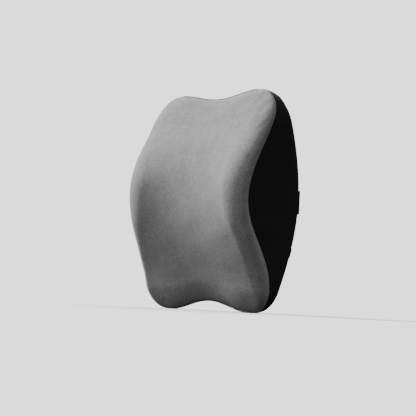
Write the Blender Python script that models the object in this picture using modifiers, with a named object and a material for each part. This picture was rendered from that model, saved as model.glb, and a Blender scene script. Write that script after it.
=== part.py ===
"""Car neck pillow: a moulded foam core in a two-tone zipped cover, with a headrest strap.

Metres, +Z up, +X to the pillow's left-hand side as the neck meets it, -Y towards the neck.
The origin is on the flat outer face of the headrest strap, in the middle of the back.
"""
import math

import bmesh
import bpy
from mathutils import Matrix, Vector

# Overall form
HEIGHT = 0.290
END_HALF_WIDTH = 0.132
WAIST = 0.0056
TOP_FLARE = 0.0021
TOP_CORNER = 0.045
BOTTOM_CORNER = 0.031
TOP_SADDLE = 0.0091
BOTTOM_SADDLE = 0.0135
SADDLE_WIDTH = 0.180
FRONT_SADDLE_SPREAD = 2.0
BACK_SADDLE_SPREAD = 5.0

# Side profile: the thin top and bottom edge, and the swells of the three edges between them
EDGE_ROUND = 0.013
FRONT_ROUND_TOP = 0.0350
FRONT_ROUND_BOTTOM = 0.0307
FRONT_EDGE = 0.0117
FRONT_SWELL = 0.0469
FRONT_SWELL_HEIGHT = 0.0138
FRONT_SWELL_ABOVE = 0.1290
FRONT_SWELL_BELOW = 0.1707
FRONT_SWELL_POWER = 0.90
SEAM_SWELL = 0.0393
SEAM_SWELL_ABOVE = 0.1398
SEAM_SWELL_BELOW = 0.1123
BACK_EDGE = 0.0133
BACK_SWELL = 0.0356
BACK_SWELL_ABOVE = 0.145
BACK_SWELL_BELOW = 0.137
BACK_SWELL_POWER = 0.486

# Plan section
CRADLE_DEPTH = 0.0127
CRADLE_POWER = 1.95
WING_REACH_TOP = 0.0341
WING_REACH_MIDDLE = 0.0267
WING_REACH_BOTTOM = 0.0099
WING_DEPTH = 0.0219
WING_FLARE = 0.0060
WING_BAND = 0.030
REAR_RADIUS = 0.014
CORNER_SHARE = 0.62
SIDE_SEAM_ANGLE = math.radians(45)

# Cover and fits
COVER = 0.0015
CLEARANCE = 0.0003
CORE_CLEARANCE = 0.0008
SEAM_GROOVE = 0.0011
TIP_WIDTH = 0.0020
EDGE_SHARE = 0.99999
TIP_SHARE_STEP = 0.00002

# Headrest strap, stowed flat across the back
STRAP_WIDTH = 0.030
STRAP_THICKNESS = 0.0013
STRAP_TAIL = 0.042
STRAP_RISE = 0.0003
STRAP_RISE_LENGTH = 0.0012
TAB_RETURN = 0.020
ADJUSTER_X = 0.074
ADJUSTER_THICKNESS = 0.0026
ADJUSTER_RAIL = 0.0035
ADJUSTER_END_BAR = 0.0036
ADJUSTER_MIDDLE_BAR = 0.0040
ADJUSTER_SLOT = 0.0062
ADJUSTER_ROUND = 0.0008

# Zip across the lower back
ZIP_HEIGHT = -0.066
ZIP_LENGTH = 0.190
ZIP_TAPE_WIDTH = 0.0070
ZIP_TAPE_THICKNESS = 0.0006
ZIP_CHANNEL = 0.0016
TOOTH_PITCH = 0.0030
TOOTH_WIDTH = 0.0014
TOOTH_REACH = 0.0022
TOOTH_ROOT = 0.0012
TOOTH_THICKNESS = 0.0014
ZIP_STOP_LENGTH = 0.0045
SLIDER_LENGTH = 0.0110
SLIDER_WIDTH = 0.0086
SLIDER_PLATE = 0.0008
BRIDGE_LENGTH = 0.0070
BRIDGE_HEIGHT = 0.0034
BRIDGE_BAR = 0.0010
BRIDGE_WIDTH = 0.0022
PULL_LENGTH = 0.0240
PULL_WIDTH = 0.0064
PULL_THICKNESS = 0.0011
PULL_EYE = 0.0034

# Mesh fineness
ROWS = 26
CRADLE_STEPS = 8
WING_STEPS = 5
WING_LEAN_PASSES = 12
BAND_STEPS = 1
SIDE_STEPS = 5
REAR_STEPS = 3
BACK_STEPS = 3
TURN_STEPS = 8
FALL_RUN = 1.6

# Worked out from the sizes above
HALF_HEIGHT = HEIGHT / 2
BACK_CREST_Y = -(STRAP_THICKNESS + CLEARANCE)
EDGE_Y = BACK_CREST_Y - BACK_EDGE - BACK_SWELL
CORE_DEPTH = COVER + CORE_CLEARANCE


def clear_scene():
    for item in list(bpy.data.objects):
        bpy.data.objects.remove(item, do_unlink=True)


def new_collection(name):
    collection = bpy.data.collections.new(name)
    bpy.context.scene.collection.children.link(collection)
    return collection


def material(name, color, roughness, metallic=0.0):
    """A plain Principled material in the finish that the piece has."""
    finish = bpy.data.materials.new(name)
    finish.use_nodes = True
    shader = finish.node_tree.nodes["Principled BSDF"]
    shader.inputs["Base Color"].default_value = (*color, 1.0)
    shader.inputs["Roughness"].default_value = roughness
    shader.inputs["Metallic"].default_value = metallic
    finish.diffuse_color = (*color, 1.0)
    return finish


def bell(z, above, below, power):
    """A swell that is 1 at mid-height and 0 at its foot, each side with its own reach."""
    reach = above if z > 0 else below
    t = min(abs(z) / reach, 1.0)
    return (0.5 * (1 + math.cos(math.pi * t))) ** power


def closing(z, round_length):
    """How open the profile is: 1 up to the rounded end of its height, and 0 at the very end."""
    into_end = min(max((abs(z) - (HALF_HEIGHT - round_length)) / round_length, 0.0), 1.0)
    return math.sqrt(1 - into_end ** 2)


class Section:
    """The pillow's plan outline at one height of its edge profile."""

    def __init__(self, h):
        self.h = h
        self.z = HALF_HEIGHT * h
        corner = TOP_CORNER if h > 0 else BOTTOM_CORNER
        full = END_HALF_WIDTH - WAIST * (1 - h * h) + TOP_FLARE * h
        self.half_width = full - corner * (1 - closing(self.z, corner))
        close = closing(self.z, EDGE_ROUND)
        close_front = closing(self.z, FRONT_ROUND_TOP if h > 0 else FRONT_ROUND_BOTTOM)
        above_swell = self.z - FRONT_SWELL_HEIGHT
        front = bell(above_swell, FRONT_SWELL_ABOVE, FRONT_SWELL_BELOW, FRONT_SWELL_POWER)
        seam = bell(self.z, SEAM_SWELL_ABOVE, SEAM_SWELL_BELOW, 1.0)
        back = bell(self.z, BACK_SWELL_ABOVE, BACK_SWELL_BELOW, BACK_SWELL_POWER)
        self.crest_y = EDGE_Y - close_front * (FRONT_EDGE + FRONT_SWELL * front)
        self.seam_y = EDGE_Y - close * SEAM_SWELL * seam
        self.back_y = EDGE_Y + close * (BACK_EDGE + BACK_SWELL * back)
        self.cradle = CRADLE_DEPTH * bell(above_swell, FRONT_SWELL_ABOVE, FRONT_SWELL_BELOW, CRADLE_POWER)
        band = min(max((self.seam_y - self.crest_y) / WING_BAND, 0.0), 1.3)
        self.wing_half_width = self.half_width + WING_FLARE * band
        self.wing_depth = min(WING_DEPTH, CORNER_SHARE * (self.seam_y - self.crest_y))
        tilt = (WING_REACH_TOP - WING_REACH_BOTTOM) / 2
        bow = (WING_REACH_TOP + WING_REACH_BOTTOM) / 2 - WING_REACH_MIDDLE
        self.wing_reach = WING_REACH_MIDDLE + tilt * h + bow * h * h
        self.rear_depth = min(REAR_RADIUS, CORNER_SHARE * (self.back_y - self.seam_y))

    def lift(self, x, spread):
        """How far the saddle in the top and bottom edges moves a point up or down."""
        t = min(abs(x) / (SADDLE_WIDTH / 2), 1.0)
        dip = 0.5 * (1 + math.cos(math.pi * t))
        if self.h > 0:
            return -TOP_SADDLE * dip * self.h ** spread
        return BOTTOM_SADDLE * dip * (-self.h) ** spread

    def wing_lean(self):
        """The angle at which the cradle's curve runs into the wing's round, and where it does."""
        middle = self.wing_half_width - self.wing_reach
        lean = 0.0
        for _ in range(WING_LEAN_PASSES):
            x = middle - self.wing_reach * math.sin(lean)
            rise = self.cradle - self.wing_depth * (1 - math.cos(lean))
            lean = math.atan(2 * rise * self.wing_reach / (self.wing_depth * x))
        return lean, middle - self.wing_reach * math.sin(lean)

    def front(self):
        """Half of the front edge, from the middle of the cradle to the side seam."""
        points = []
        lean, cradle_x = self.wing_lean()
        foot = self.crest_y + self.cradle
        rise = self.cradle - self.wing_depth * (1 - math.cos(lean))
        for i in range(CRADLE_STEPS):
            s = i / CRADLE_STEPS
            points.append((s * cradle_x, foot - rise * s * s))
        middle = self.wing_half_width - self.wing_reach
        for i in range(WING_STEPS + 1):
            t = -lean + (math.pi / 2 + lean) * i / WING_STEPS
            x = middle + self.wing_reach * math.sin(t)
            points.append((x, self.crest_y + self.wing_depth * (1 - math.cos(t))))
        start = points[-1]
        for i in range(1, BAND_STEPS + 1):
            s = i / BAND_STEPS
            x = start[0] + s * (self.half_width - start[0])
            points.append((x, start[1] + s * (self.seam_y - start[1])))
        return points

    def rear_corner(self, start, end):
        """The rounded rear corner between two angles, 0 at the side and a right angle at the back."""
        points = []
        for i in range(REAR_STEPS + 1):
            t = start + (end - start) * i / REAR_STEPS
            x = self.half_width - REAR_RADIUS * (1 - math.cos(t))
            points.append((x, self.back_y - self.rear_depth * (1 - math.sin(t))))
        return points

    def side(self, gap):
        """The side gusset's edge, from the front seam to the rear seam."""
        end_y = self.back_y - self.rear_depth
        points = []
        for i in range(SIDE_STEPS):
            points.append((self.half_width, self.seam_y + i / SIDE_STEPS * (end_y - self.seam_y)))
        return held_back(points + self.rear_corner(0.0, SIDE_SEAM_ANGLE), gap, gap)

    def back(self, gap):
        """Half of the back edge, from the rear seam to the middle."""
        corner = self.rear_corner(SIDE_SEAM_ANGLE, math.pi / 2)
        edge_x = corner[-1][0]
        flat = [(edge_x * (1 - i / BACK_STEPS), self.back_y) for i in range(1, BACK_STEPS + 1)]
        return held_back(corner + flat, gap, 0.0)


def held_back(points, start_gap, end_gap):
    """A run of points whose ends stop short by the given lengths, with the rest where it was."""
    along = [0.0]
    for a, b in zip(points, points[1:]):
        along.append(along[-1] + math.dist(a, b))
    return [point_along(points, along, min(max(s, start_gap), along[-1] - end_gap)) for s in along]


def point_along(points, along, s):
    for i in range(len(points) - 1):
        if s <= along[i + 1] or i == len(points) - 2:
            t = (s - along[i]) / max(along[i + 1] - along[i], 1e-9)
            a, b = points[i], points[i + 1]
            return (a[0] + t * (b[0] - a[0]), a[1] + t * (b[1] - a[1]))


def heights(low, high, rows):
    """Profile heights from low to high, closer together towards the thin edges."""
    first, last = math.asin(low), math.asin(high)
    return [math.sin(first + (last - first) * i / rows) for i in range(rows + 1)]


def mirrored(half):
    """A whole run of points from the half at +X that starts or ends on the middle."""
    if half[0][0] < half[-1][0]:
        return [(-x, y) for x, y in reversed(half[1:])] + half
    return half + [(-x, y) for x, y in reversed(half[:-1])]


def grid_panel(name, sections, edges, spread, finish, collection):
    """Bend a flat grid onto the pillow: one row a section, one column a point of its edge."""
    rows = len(sections) - 1
    columns = len(edges[0]) - 1
    bm = bmesh.new()
    bmesh.ops.create_grid(bm, x_segments=columns, y_segments=rows, size=1.0)
    for vert in bm.verts:
        column = round((vert.co.x + 1) / 2 * columns)
        row = round((vert.co.y + 1) / 2 * rows)
        x, y = edges[row][column]
        section = sections[row]
        vert.co = (x, y, section.z + section.lift(x, spread))
    bmesh.ops.remove_doubles(bm, verts=bm.verts, dist=0.00002)
    return mesh_object(name, bm, finish, collection)


def mesh_object(name, bm, finish, collection):
    mesh = bpy.data.meshes.new(name)
    bm.to_mesh(mesh)
    bm.free()
    piece = bpy.data.objects.new(name, mesh)
    mesh.materials.append(finish)
    mesh.shade_smooth()
    collection.objects.link(piece)
    return piece


def solidify(piece, thickness, offset=-1.0):
    wall = piece.modifiers.new("Wall", "SOLIDIFY")
    wall.thickness = thickness
    wall.offset = offset
    wall.use_even_offset = True
    wall.use_quality_normals = True
    return wall


def cut(piece, cutter, name):
    boolean = piece.modifiers.new(name, "BOOLEAN")
    boolean.operation = "DIFFERENCE"
    boolean.solver = "EXACT"
    boolean.object = cutter
    return boolean


def box(name, size, center, matrix, finish, collection, round_edges=0.0):
    """A block with softened edges, placed by its centre in the given frame."""
    bm = bmesh.new()
    bmesh.ops.create_cube(bm, size=1.0)
    bmesh.ops.scale(bm, vec=size, verts=bm.verts)
    bmesh.ops.translate(bm, vec=center, verts=bm.verts)
    piece = mesh_object(name, bm, finish, collection)
    piece.matrix_world = matrix
    if round_edges:
        soften(piece, round_edges)
    return piece


def soften(piece, width, segments=2):
    bevel = piece.modifiers.new("Soft edges", "BEVEL")
    bevel.width = width
    bevel.segments = segments
    bevel.limit_method = "ANGLE"
    bevel.angle_limit = math.radians(40)
    piece.data.set_sharp_from_angle(angle=math.radians(35))
    return bevel


def make_cutter(name, size, center, matrix, collection):
    cutter = box(name, size, center, matrix, material(name, (1.0, 0.2, 0.1), 0.5), collection)
    cutter.hide_render = True
    cutter.display_type = "WIRE"
    return cutter


def front_cover(finish, collection):
    sections = [Section(h) for h in heights(-EDGE_SHARE, EDGE_SHARE, ROWS)]
    edges = []
    for section in sections:
        limit = EDGE_Y - SEAM_GROOVE / 2
        half = held_back(section.front(), 0.0, SEAM_GROOVE / 2)
        half = [(x, min(y, limit)) for x, y in half]
        edges.append(mirrored(half))
    piece = grid_panel("front_cover", sections, edges, FRONT_SADDLE_SPREAD, finish, collection)
    solidify(piece, COVER)
    return piece


def side_panel(name, side, finish, collection):
    """A lens-shaped gusset, blunt where its width falls to the tip width."""
    tips = []
    for end in (-EDGE_SHARE, EDGE_SHARE):
        h = end
        while gusset_width(Section(h)) < TIP_WIDTH:
            h -= end * TIP_SHARE_STEP
        tips.append(h)
    sections = [Section(h) for h in heights(tips[0], tips[1], ROWS)]
    edges = []
    for section in sections:
        run = section.side(SEAM_GROOVE / 2)
        if side < 0:
            run = [(-x, y) for x, y in reversed(run)]
        edges.append(run)
    piece = grid_panel(name, sections, edges, FRONT_SADDLE_SPREAD, finish, collection)
    solidify(piece, COVER)
    return piece


def gusset_width(section):
    corner = section.rear_corner(0.0, SIDE_SEAM_ANGLE)
    return corner[-1][1] - section.seam_y


def back_panel(name, finish, collection):
    """The whole back; the zip's seam then cuts it into an upper and a lower panel."""
    sections = [Section(h) for h in heights(-EDGE_SHARE, EDGE_SHARE, ROWS)]
    edges = []
    for section in sections:
        limit = EDGE_Y + SEAM_GROOVE / 2
        half = [(x, max(y, limit)) for x, y in section.back(SEAM_GROOVE / 2)]
        edges.append(mirrored(half))
    piece = grid_panel(name, sections, edges, BACK_SADDLE_SPREAD, finish, collection)
    solidify(piece, COVER)
    return piece


def foam_core(finish, collection):
    """The moulded block: the cover's own outline, closed and drawn in by the cover's wall."""
    sections = [Section(h) for h in heights(-EDGE_SHARE, EDGE_SHARE, ROWS)]
    bm = bmesh.new()
    rings = []
    for section in sections:
        front = mirrored(section.front())
        side = section.side(0.0)[1:]
        back = mirrored(section.back(0.0))[1:-1]
        ring = [(x, y, FRONT_SADDLE_SPREAD) for x, y in front]
        ring += [(x, y, FRONT_SADDLE_SPREAD) for x, y in side]
        ring += [(x, y, BACK_SADDLE_SPREAD) for x, y in back]
        ring += [(-x, y, FRONT_SADDLE_SPREAD) for x, y in reversed(side)]
        verts = []
        for x, y, spread in ring:
            verts.append(bm.verts.new((x, y, section.z + section.lift(x, spread))))
        rings.append(verts)
    count = len(rings[0])
    for lower, upper in zip(rings, rings[1:]):
        for i in range(count):
            j = (i + 1) % count
            bm.faces.new((lower[i], lower[j], upper[j], upper[i]))
    bm.faces.new(list(reversed(rings[0])))
    bm.faces.new(rings[-1])
    bmesh.ops.remove_doubles(bm, verts=bm.verts, dist=0.00002)
    bmesh.ops.recalc_face_normals(bm, faces=bm.faces)
    bm.normal_update()
    moves = [(vert, vert.normal.copy()) for vert in bm.verts]
    for vert, normal in moves:
        vert.co -= normal * CORE_DEPTH
    for end in [face for face in bm.faces if len(face.verts) > 4]:
        close_ridge(bm, end)
    bmesh.ops.recalc_face_normals(bm, faces=bm.faces)
    return mesh_object("foam_core", bm, finish, collection)


def close_ridge(bm, end):
    """Change a long thin end face for triangles that join its two edges, nearest to nearest."""
    ring = list(end.verts)
    bm.faces.remove(end)
    start = min(range(len(ring)), key=lambda i: ring[i].co.x)
    ring = ring[start:] + ring[:start]
    far = max(range(len(ring)), key=lambda i: ring[i].co.x)
    one, other = ring[:far + 1], ring[:far:-1]
    i, j = 0, 0
    while i < len(one) - 1 or j < len(other) - 1:
        step_one = i < len(one) - 1
        if step_one and j < len(other) - 1:
            step_one = one[i + 1].co.x <= other[j + 1].co.x
        if step_one:
            bm.faces.new((one[i], one[i + 1], other[j]))
            i += 1
        else:
            bm.faces.new((one[i], other[j + 1], other[j]))
            j += 1


def ribbon(name, path, width, thickness, finish, collection, round_edges=0.0):
    """A flat strip of webbing that follows a path in plan, with its width upright."""
    bm = bmesh.new()
    columns = len(path) - 1
    bmesh.ops.create_grid(bm, x_segments=columns, y_segments=1, size=1.0)
    for vert in bm.verts:
        x, y = path[round((vert.co.x + 1) / 2 * columns)]
        vert.co = (x, y, vert.co.y * width / 2)
    bmesh.ops.recalc_face_normals(bm, faces=bm.faces)
    piece = mesh_object(name, bm, finish, collection)
    solidify(piece, thickness, offset=0.0)
    return piece


def arc(center, radius, start, end, steps):
    points = []
    for i in range(steps + 1):
        t = start + (end - start) * i / steps
        points.append((center[0] + radius * math.cos(t), center[1] + radius * math.sin(t)))
    return points


def strap_seam_run(side):
    """The strap's middle line from the side seam round the rear corner to the flat of the back."""
    section = Section(0.0)
    radius = REAR_RADIUS + CLEARANCE + STRAP_THICKNESS / 2
    center = (section.half_width - REAR_RADIUS, section.back_y - REAR_RADIUS)
    run = arc(center, radius, SIDE_SEAM_ANGLE, math.pi / 2, TURN_STEPS)
    return [(side * x, y) for x, y in run]


def strap_level():
    """The stowed strap's middle line: its outer face is the bearing plane through the origin."""
    return -STRAP_THICKNESS / 2


def adjuster_levels():
    """The lifted strap's middle line, the buckle's lower face and the webbing over the buckle."""
    lifted = strap_level() + STRAP_RISE
    low = STRAP_RISE + CLEARANCE
    over = low + ADJUSTER_THICKNESS + CLEARANCE + STRAP_THICKNESS / 2
    return lifted, low, over


def adjuster_edges():
    """The buckle's bars along X: its left end, the middle bar's two edges and its right end."""
    half = ADJUSTER_MIDDLE_BAR / 2
    reach = half + ADJUSTER_SLOT + ADJUSTER_END_BAR
    return ADJUSTER_X - reach, ADJUSTER_X - half, ADJUSTER_X + half, ADJUSTER_X + reach


def elastic_strap(finish, collection):
    """Sewn at one side seam, flat across the back, round the middle bar and back as a tail."""
    level = strap_level()
    lifted, _, over = adjuster_levels()
    left, _, bar_right, _ = adjuster_edges()
    turn_radius = (over - lifted) / 2
    turn_x = bar_right + CLEARANCE + STRAP_THICKNESS / 2 - turn_radius
    resting = lifted + STRAP_THICKNESS + CLEARANCE
    step_down = left - 2 * CLEARANCE
    tail_end = left - STRAP_TAIL
    rise_end = tail_end - STRAP_THICKNESS
    path = strap_seam_run(-1.0)
    path += [(rise_end - STRAP_RISE_LENGTH, level), (rise_end, lifted)]
    path += arc((turn_x, lifted + turn_radius), turn_radius, -math.pi / 2, math.pi / 2, TURN_STEPS)
    path += [(step_down, over), (step_down - (over - resting) * FALL_RUN, resting)]
    path += [(tail_end, resting)]
    return ribbon("elastic_strap", path, STRAP_WIDTH, STRAP_THICKNESS, finish, collection)


def strap_tab(finish, collection):
    """Short webbing from the other seam, round the buckle's end bar and sewn to itself."""
    level = strap_level()
    lifted, _, over = adjuster_levels()
    right = adjuster_edges()[3]
    bar_left = right - ADJUSTER_END_BAR
    turn_radius = (over - level) / 2
    turn_x = bar_left - CLEARANCE - STRAP_THICKNESS / 2 + turn_radius
    resting = lifted + STRAP_THICKNESS + CLEARANCE
    step_down = right + 2 * CLEARANCE
    fallen = step_down + (over - resting) * FALL_RUN
    path = strap_seam_run(1.0)
    path += arc((turn_x, level + turn_radius), turn_radius, -math.pi / 2, -1.5 * math.pi, TURN_STEPS)
    path += [(step_down, over), (fallen, resting), (step_down + TAB_RETURN, resting)]
    return ribbon("strap_tab", path, STRAP_WIDTH, STRAP_THICKNESS, finish, collection)


def strap_adjuster(finish, collection, cutters):
    """A moulded frame with a middle bar: two slots cut through one rounded plate."""
    _, low, _ = adjuster_levels()
    left, _, _, right = adjuster_edges()
    slot_height = STRAP_WIDTH + 4 * CLEARANCE
    height = slot_height + 2 * ADJUSTER_RAIL
    middle_y = low + ADJUSTER_THICKNESS / 2
    size = (right - left, ADJUSTER_THICKNESS, height)
    plate = box("strap_adjuster", size, ((left + right) / 2, middle_y, 0.0), Matrix.Identity(4),
                finish, collection)
    for side in (-1.0, 1.0):
        x = ADJUSTER_X + side * (ADJUSTER_MIDDLE_BAR + ADJUSTER_SLOT) / 2
        name = "adjuster_slot_left" if side < 0 else "adjuster_slot_right"
        slot = make_cutter(name, (ADJUSTER_SLOT, 3 * ADJUSTER_THICKNESS, slot_height),
                           (x, middle_y, 0.0), Matrix.Identity(4), cutters)
        cut(plate, slot, name)
    soften(plate, ADJUSTER_ROUND)
    return plate


def zip_frame():
    """The zip's own frame: X along it, Y up the back and Z out of the cover's face."""
    step = 0.002
    low = Section((ZIP_HEIGHT - step) / HALF_HEIGHT).back_y
    high = Section((ZIP_HEIGHT + step) / HALF_HEIGHT).back_y
    middle = Section(ZIP_HEIGHT / HALF_HEIGHT)
    up = Vector((0.0, high - low, 2 * step)).normalized()
    out = Vector((1.0, 0.0, 0.0)).cross(up) * -1.0
    matrix = Matrix.Identity(4)
    for row in range(3):
        matrix[row][0] = -1.0 if row == 0 else 0.0
        matrix[row][1] = up[row]
        matrix[row][2] = out[row]
        matrix[row][3] = (0.0, middle.back_y, ZIP_HEIGHT)[row]
    return matrix


def zip_levels():
    """Heights above the cover's face: tape, teeth and the slider's two plates."""
    plate_low = -CORE_DEPTH + CLEARANCE
    tape_low = plate_low + SLIDER_PLATE + CLEARANCE
    teeth_low = tape_low + ZIP_TAPE_THICKNESS + CLEARANCE
    plate_high = teeth_low + TOOTH_THICKNESS + CLEARANCE
    return plate_low, tape_low, teeth_low, plate_high


def zip_tape(name, side, frame, finish, collection):
    _, low, _, _ = zip_levels()
    center = (0.0, side * (ZIP_CHANNEL + ZIP_TAPE_WIDTH) / 2, low + ZIP_TAPE_THICKNESS / 2)
    size = (ZIP_LENGTH, ZIP_TAPE_WIDTH, ZIP_TAPE_THICKNESS)
    return box(name, size, center, frame, finish, collection)


def zip_chain(name, side, frame, finish, collection):
    """A row of moulded teeth on one cord, as a comb outline with the teeth's thickness."""
    _, _, low, _ = zip_levels()
    count = int((ZIP_LENGTH - 2 * ZIP_STOP_LENGTH - 4 * CLEARANCE) / TOOTH_PITCH)
    length = count * TOOTH_PITCH
    shift = TOOTH_PITCH / 4 * side
    root = ZIP_CHANNEL / 2 + TOOTH_REACH
    outer = root + TOOTH_ROOT
    bm = bmesh.new()
    outline = [(-length / 2, outer)]
    outline += [(-length / 2, root)]
    for i in range(count):
        middle = -length / 2 + (i + 0.5) * TOOTH_PITCH + shift * 0.5
        half = TOOTH_WIDTH / 2
        outline += [(middle - half, root), (middle - half, ZIP_CHANNEL / 2)]
        outline += [(middle + half, ZIP_CHANNEL / 2), (middle + half, root)]
    outline += [(length / 2, root), (length / 2, outer)]
    verts = [bm.verts.new((x, side * y, low)) for x, y in outline]
    face = bm.faces.new(verts)
    grown = bmesh.ops.extrude_face_region(bm, geom=[face])
    top = [item for item in grown["geom"] if isinstance(item, bmesh.types.BMVert)]
    bmesh.ops.translate(bm, vec=(0.0, 0.0, TOOTH_THICKNESS), verts=top)
    bmesh.ops.triangulate(bm, faces=[f for f in bm.faces if len(f.verts) > 4])
    bmesh.ops.recalc_face_normals(bm, faces=bm.faces)
    piece = mesh_object(name, bm, finish, collection)
    piece.data.shade_flat()
    piece.matrix_world = frame
    return piece


def zip_stop(name, side, frame, finish, collection):
    """A moulded block that bridges the channel at one end of the chain."""
    _, _, low, _ = zip_levels()
    center = (side * (ZIP_LENGTH - ZIP_STOP_LENGTH) / 2, 0.0, low + TOOTH_THICKNESS / 2)
    size = (ZIP_STOP_LENGTH, ZIP_CHANNEL + 2 * TOOTH_REACH, TOOTH_THICKNESS)
    return box(name, size, center, frame, finish, collection, round_edges=0.0003)


def slider_rest_x():
    """The closed position: the slider against the stop at the frame's +X end."""
    return (ZIP_LENGTH - 2 * ZIP_STOP_LENGTH - SLIDER_LENGTH) / 2 - 2 * CLEARANCE


def slider_travel():
    return 2 * slider_rest_x()


def zip_slider(frame, finish, collection, cutters):
    """Two plates joined by a neck in the channel, with a bridge that holds the pull."""
    low, _, _, high = zip_levels()
    neck = ZIP_CHANNEL - 2 * CLEARANCE
    top = high + SLIDER_PLATE
    half = SLIDER_WIDTH / 2
    outline = [(-half, low), (half, low), (half, low + SLIDER_PLATE), (neck / 2, low + SLIDER_PLATE),
               (neck / 2, high), (half, high), (half, top), (-half, top), (-half, high),
               (-neck / 2, high), (-neck / 2, low + SLIDER_PLATE), (-half, low + SLIDER_PLATE)]
    bm = bmesh.new()
    face = bm.faces.new([bm.verts.new((-SLIDER_LENGTH / 2, y, z)) for y, z in outline])
    grown = bmesh.ops.extrude_face_region(bm, geom=[face])
    moved = [item for item in grown["geom"] if isinstance(item, bmesh.types.BMVert)]
    bmesh.ops.translate(bm, vec=(SLIDER_LENGTH, 0.0, 0.0), verts=moved)
    bmesh.ops.recalc_face_normals(bm, faces=bm.faces)
    piece = mesh_object("zip_slider", bm, finish, collection)
    bridge = slider_bridge(top, finish, cutters)
    union = piece.modifiers.new("Bridge", "BOOLEAN")
    union.operation = "UNION"
    union.solver = "EXACT"
    union.object = bridge
    place = frame @ Matrix.Translation((slider_rest_x(), 0.0, 0.0))
    piece.matrix_world = place
    bridge.matrix_world = place
    piece.data.set_sharp_from_angle(angle=math.radians(35))
    return piece


def slider_bridge(top, finish, cutters):
    """The arch over the slider's top plate, sunk a little into it so that the two join."""
    foot = top - SLIDER_PLATE / 2
    crown = top + BRIDGE_HEIGHT
    half = BRIDGE_LENGTH / 2
    outer = [(-half, foot), (-half, crown - BRIDGE_BAR), (-half + BRIDGE_BAR, crown),
             (half - BRIDGE_BAR, crown), (half, crown - BRIDGE_BAR), (half, foot)]
    inner = [(half - BRIDGE_BAR, foot), (half - BRIDGE_BAR, crown - BRIDGE_BAR),
             (-half + BRIDGE_BAR, crown - BRIDGE_BAR), (-half + BRIDGE_BAR, foot)]
    bm = bmesh.new()
    face = bm.faces.new([bm.verts.new((x, -BRIDGE_WIDTH / 2, z)) for x, z in outer + inner])
    grown = bmesh.ops.extrude_face_region(bm, geom=[face])
    moved = [item for item in grown["geom"] if isinstance(item, bmesh.types.BMVert)]
    bmesh.ops.translate(bm, vec=(0.0, BRIDGE_WIDTH, 0.0), verts=moved)
    bmesh.ops.triangulate(bm, faces=[f for f in bm.faces if len(f.verts) > 4])
    bmesh.ops.recalc_face_normals(bm, faces=bm.faces)
    bridge = mesh_object("slider_bridge_form", bm, finish, cutters)
    bridge.hide_render = True
    bridge.display_type = "WIRE"
    return bridge


def pull_axis_height():
    """The pull turns on its eye's bar, which lies under the crown of the bridge."""
    _, _, _, high = zip_levels()
    return high + SLIDER_PLATE + BRIDGE_HEIGHT - BRIDGE_BAR - CLEARANCE - PULL_THICKNESS / 2


def zip_pull(frame, finish, collection, cutters):
    """A flat tab with a rectangular eye; its origin is on the hinge axis."""
    eye_half = PULL_WIDTH / 2
    bar = PULL_THICKNESS
    place = frame @ Matrix.Translation((slider_rest_x(), 0.0, pull_axis_height()))
    center = (-PULL_LENGTH / 2 + bar / 2, 0.0, 0.0)
    tab = box("zip_pull", (PULL_LENGTH, 2 * eye_half, PULL_THICKNESS), center, place,
              finish, collection)
    eye_length = BRIDGE_LENGTH / 2 + PULL_EYE / 2
    eye = make_cutter("pull_eye", (eye_length, PULL_EYE, 4 * PULL_THICKNESS),
                      (-bar / 2 - eye_length / 2, 0.0, 0.0), place, cutters)
    cut(tab, eye, "Eye")
    soften(tab, 0.0003, segments=1)
    return tab


def main():
    clear_scene()
    parts = new_collection("car_neck_pillow")
    cutters = new_collection("cutters")
    velour = material("grey_velour", (0.30, 0.30, 0.305), 0.9)
    knit = material("black_knit", (0.012, 0.012, 0.013), 0.85)
    foam = material("memory_foam", (0.78, 0.74, 0.60), 0.95)
    webbing = material("black_elastic", (0.014, 0.014, 0.015), 0.8)
    tape = material("zip_tape", (0.013, 0.013, 0.014), 0.85)
    plastic = material("black_acetal", (0.016, 0.016, 0.017), 0.4)
    enamel = material("black_enamel", (0.02, 0.02, 0.022), 0.35, 0.6)

    frame = zip_frame()
    foam_core(foam, parts)
    front_cover(velour, parts)
    side_panel("left_side_panel", -1.0, knit, parts)
    side_panel("right_side_panel", 1.0, knit, parts)

    opening = make_cutter("zip_opening",
                          (ZIP_LENGTH + 2 * CLEARANCE,
                           ZIP_CHANNEL + 2 * (ZIP_TAPE_WIDTH + CLEARANCE), 0.02),
                          (0.0, 0.0, 0.0), frame, cutters)
    reach = HEIGHT
    lower_half = make_cutter("below_zip_seam", (2 * END_HALF_WIDTH + 0.02, reach, reach),
                             (0.0, CLEARANCE / 2 - reach / 2, 0.0), frame, cutters)
    upper_half = make_cutter("above_zip_seam", (2 * END_HALF_WIDTH + 0.02, reach, reach),
                             (0.0, reach / 2 - CLEARANCE / 2, 0.0), frame, cutters)
    upper = back_panel("back_panel_upper", knit, parts)
    cut(upper, lower_half, "Seam")
    cut(upper, opening, "Zip opening")
    lower = back_panel("back_panel_lower", knit, parts)
    cut(lower, upper_half, "Seam")
    cut(lower, opening, "Zip opening")

    zip_tape("zip_tape_upper", 1.0, frame, tape, parts)
    zip_tape("zip_tape_lower", -1.0, frame, tape, parts)
    zip_chain("zip_chain_upper", 1.0, frame, plastic, parts)
    zip_chain("zip_chain_lower", -1.0, frame, plastic, parts)
    zip_stop("zip_stop_closed", 1.0, frame, plastic, parts)
    zip_stop("zip_stop_open", -1.0, frame, plastic, parts)
    zip_slider(frame, enamel, parts, cutters)
    zip_pull(frame, enamel, parts, cutters)

    elastic_strap(webbing, parts)
    strap_tab(webbing, parts)
    strap_adjuster(plastic, parts, cutters)


main()
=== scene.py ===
"""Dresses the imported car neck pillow: velour and knit cover, strap, zip, pale floor, light and camera."""
import math

import bmesh
import bpy
import numpy as np
from bpy.props import FloatProperty, FloatVectorProperty, PointerProperty
from mathutils import Matrix, Vector


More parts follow.
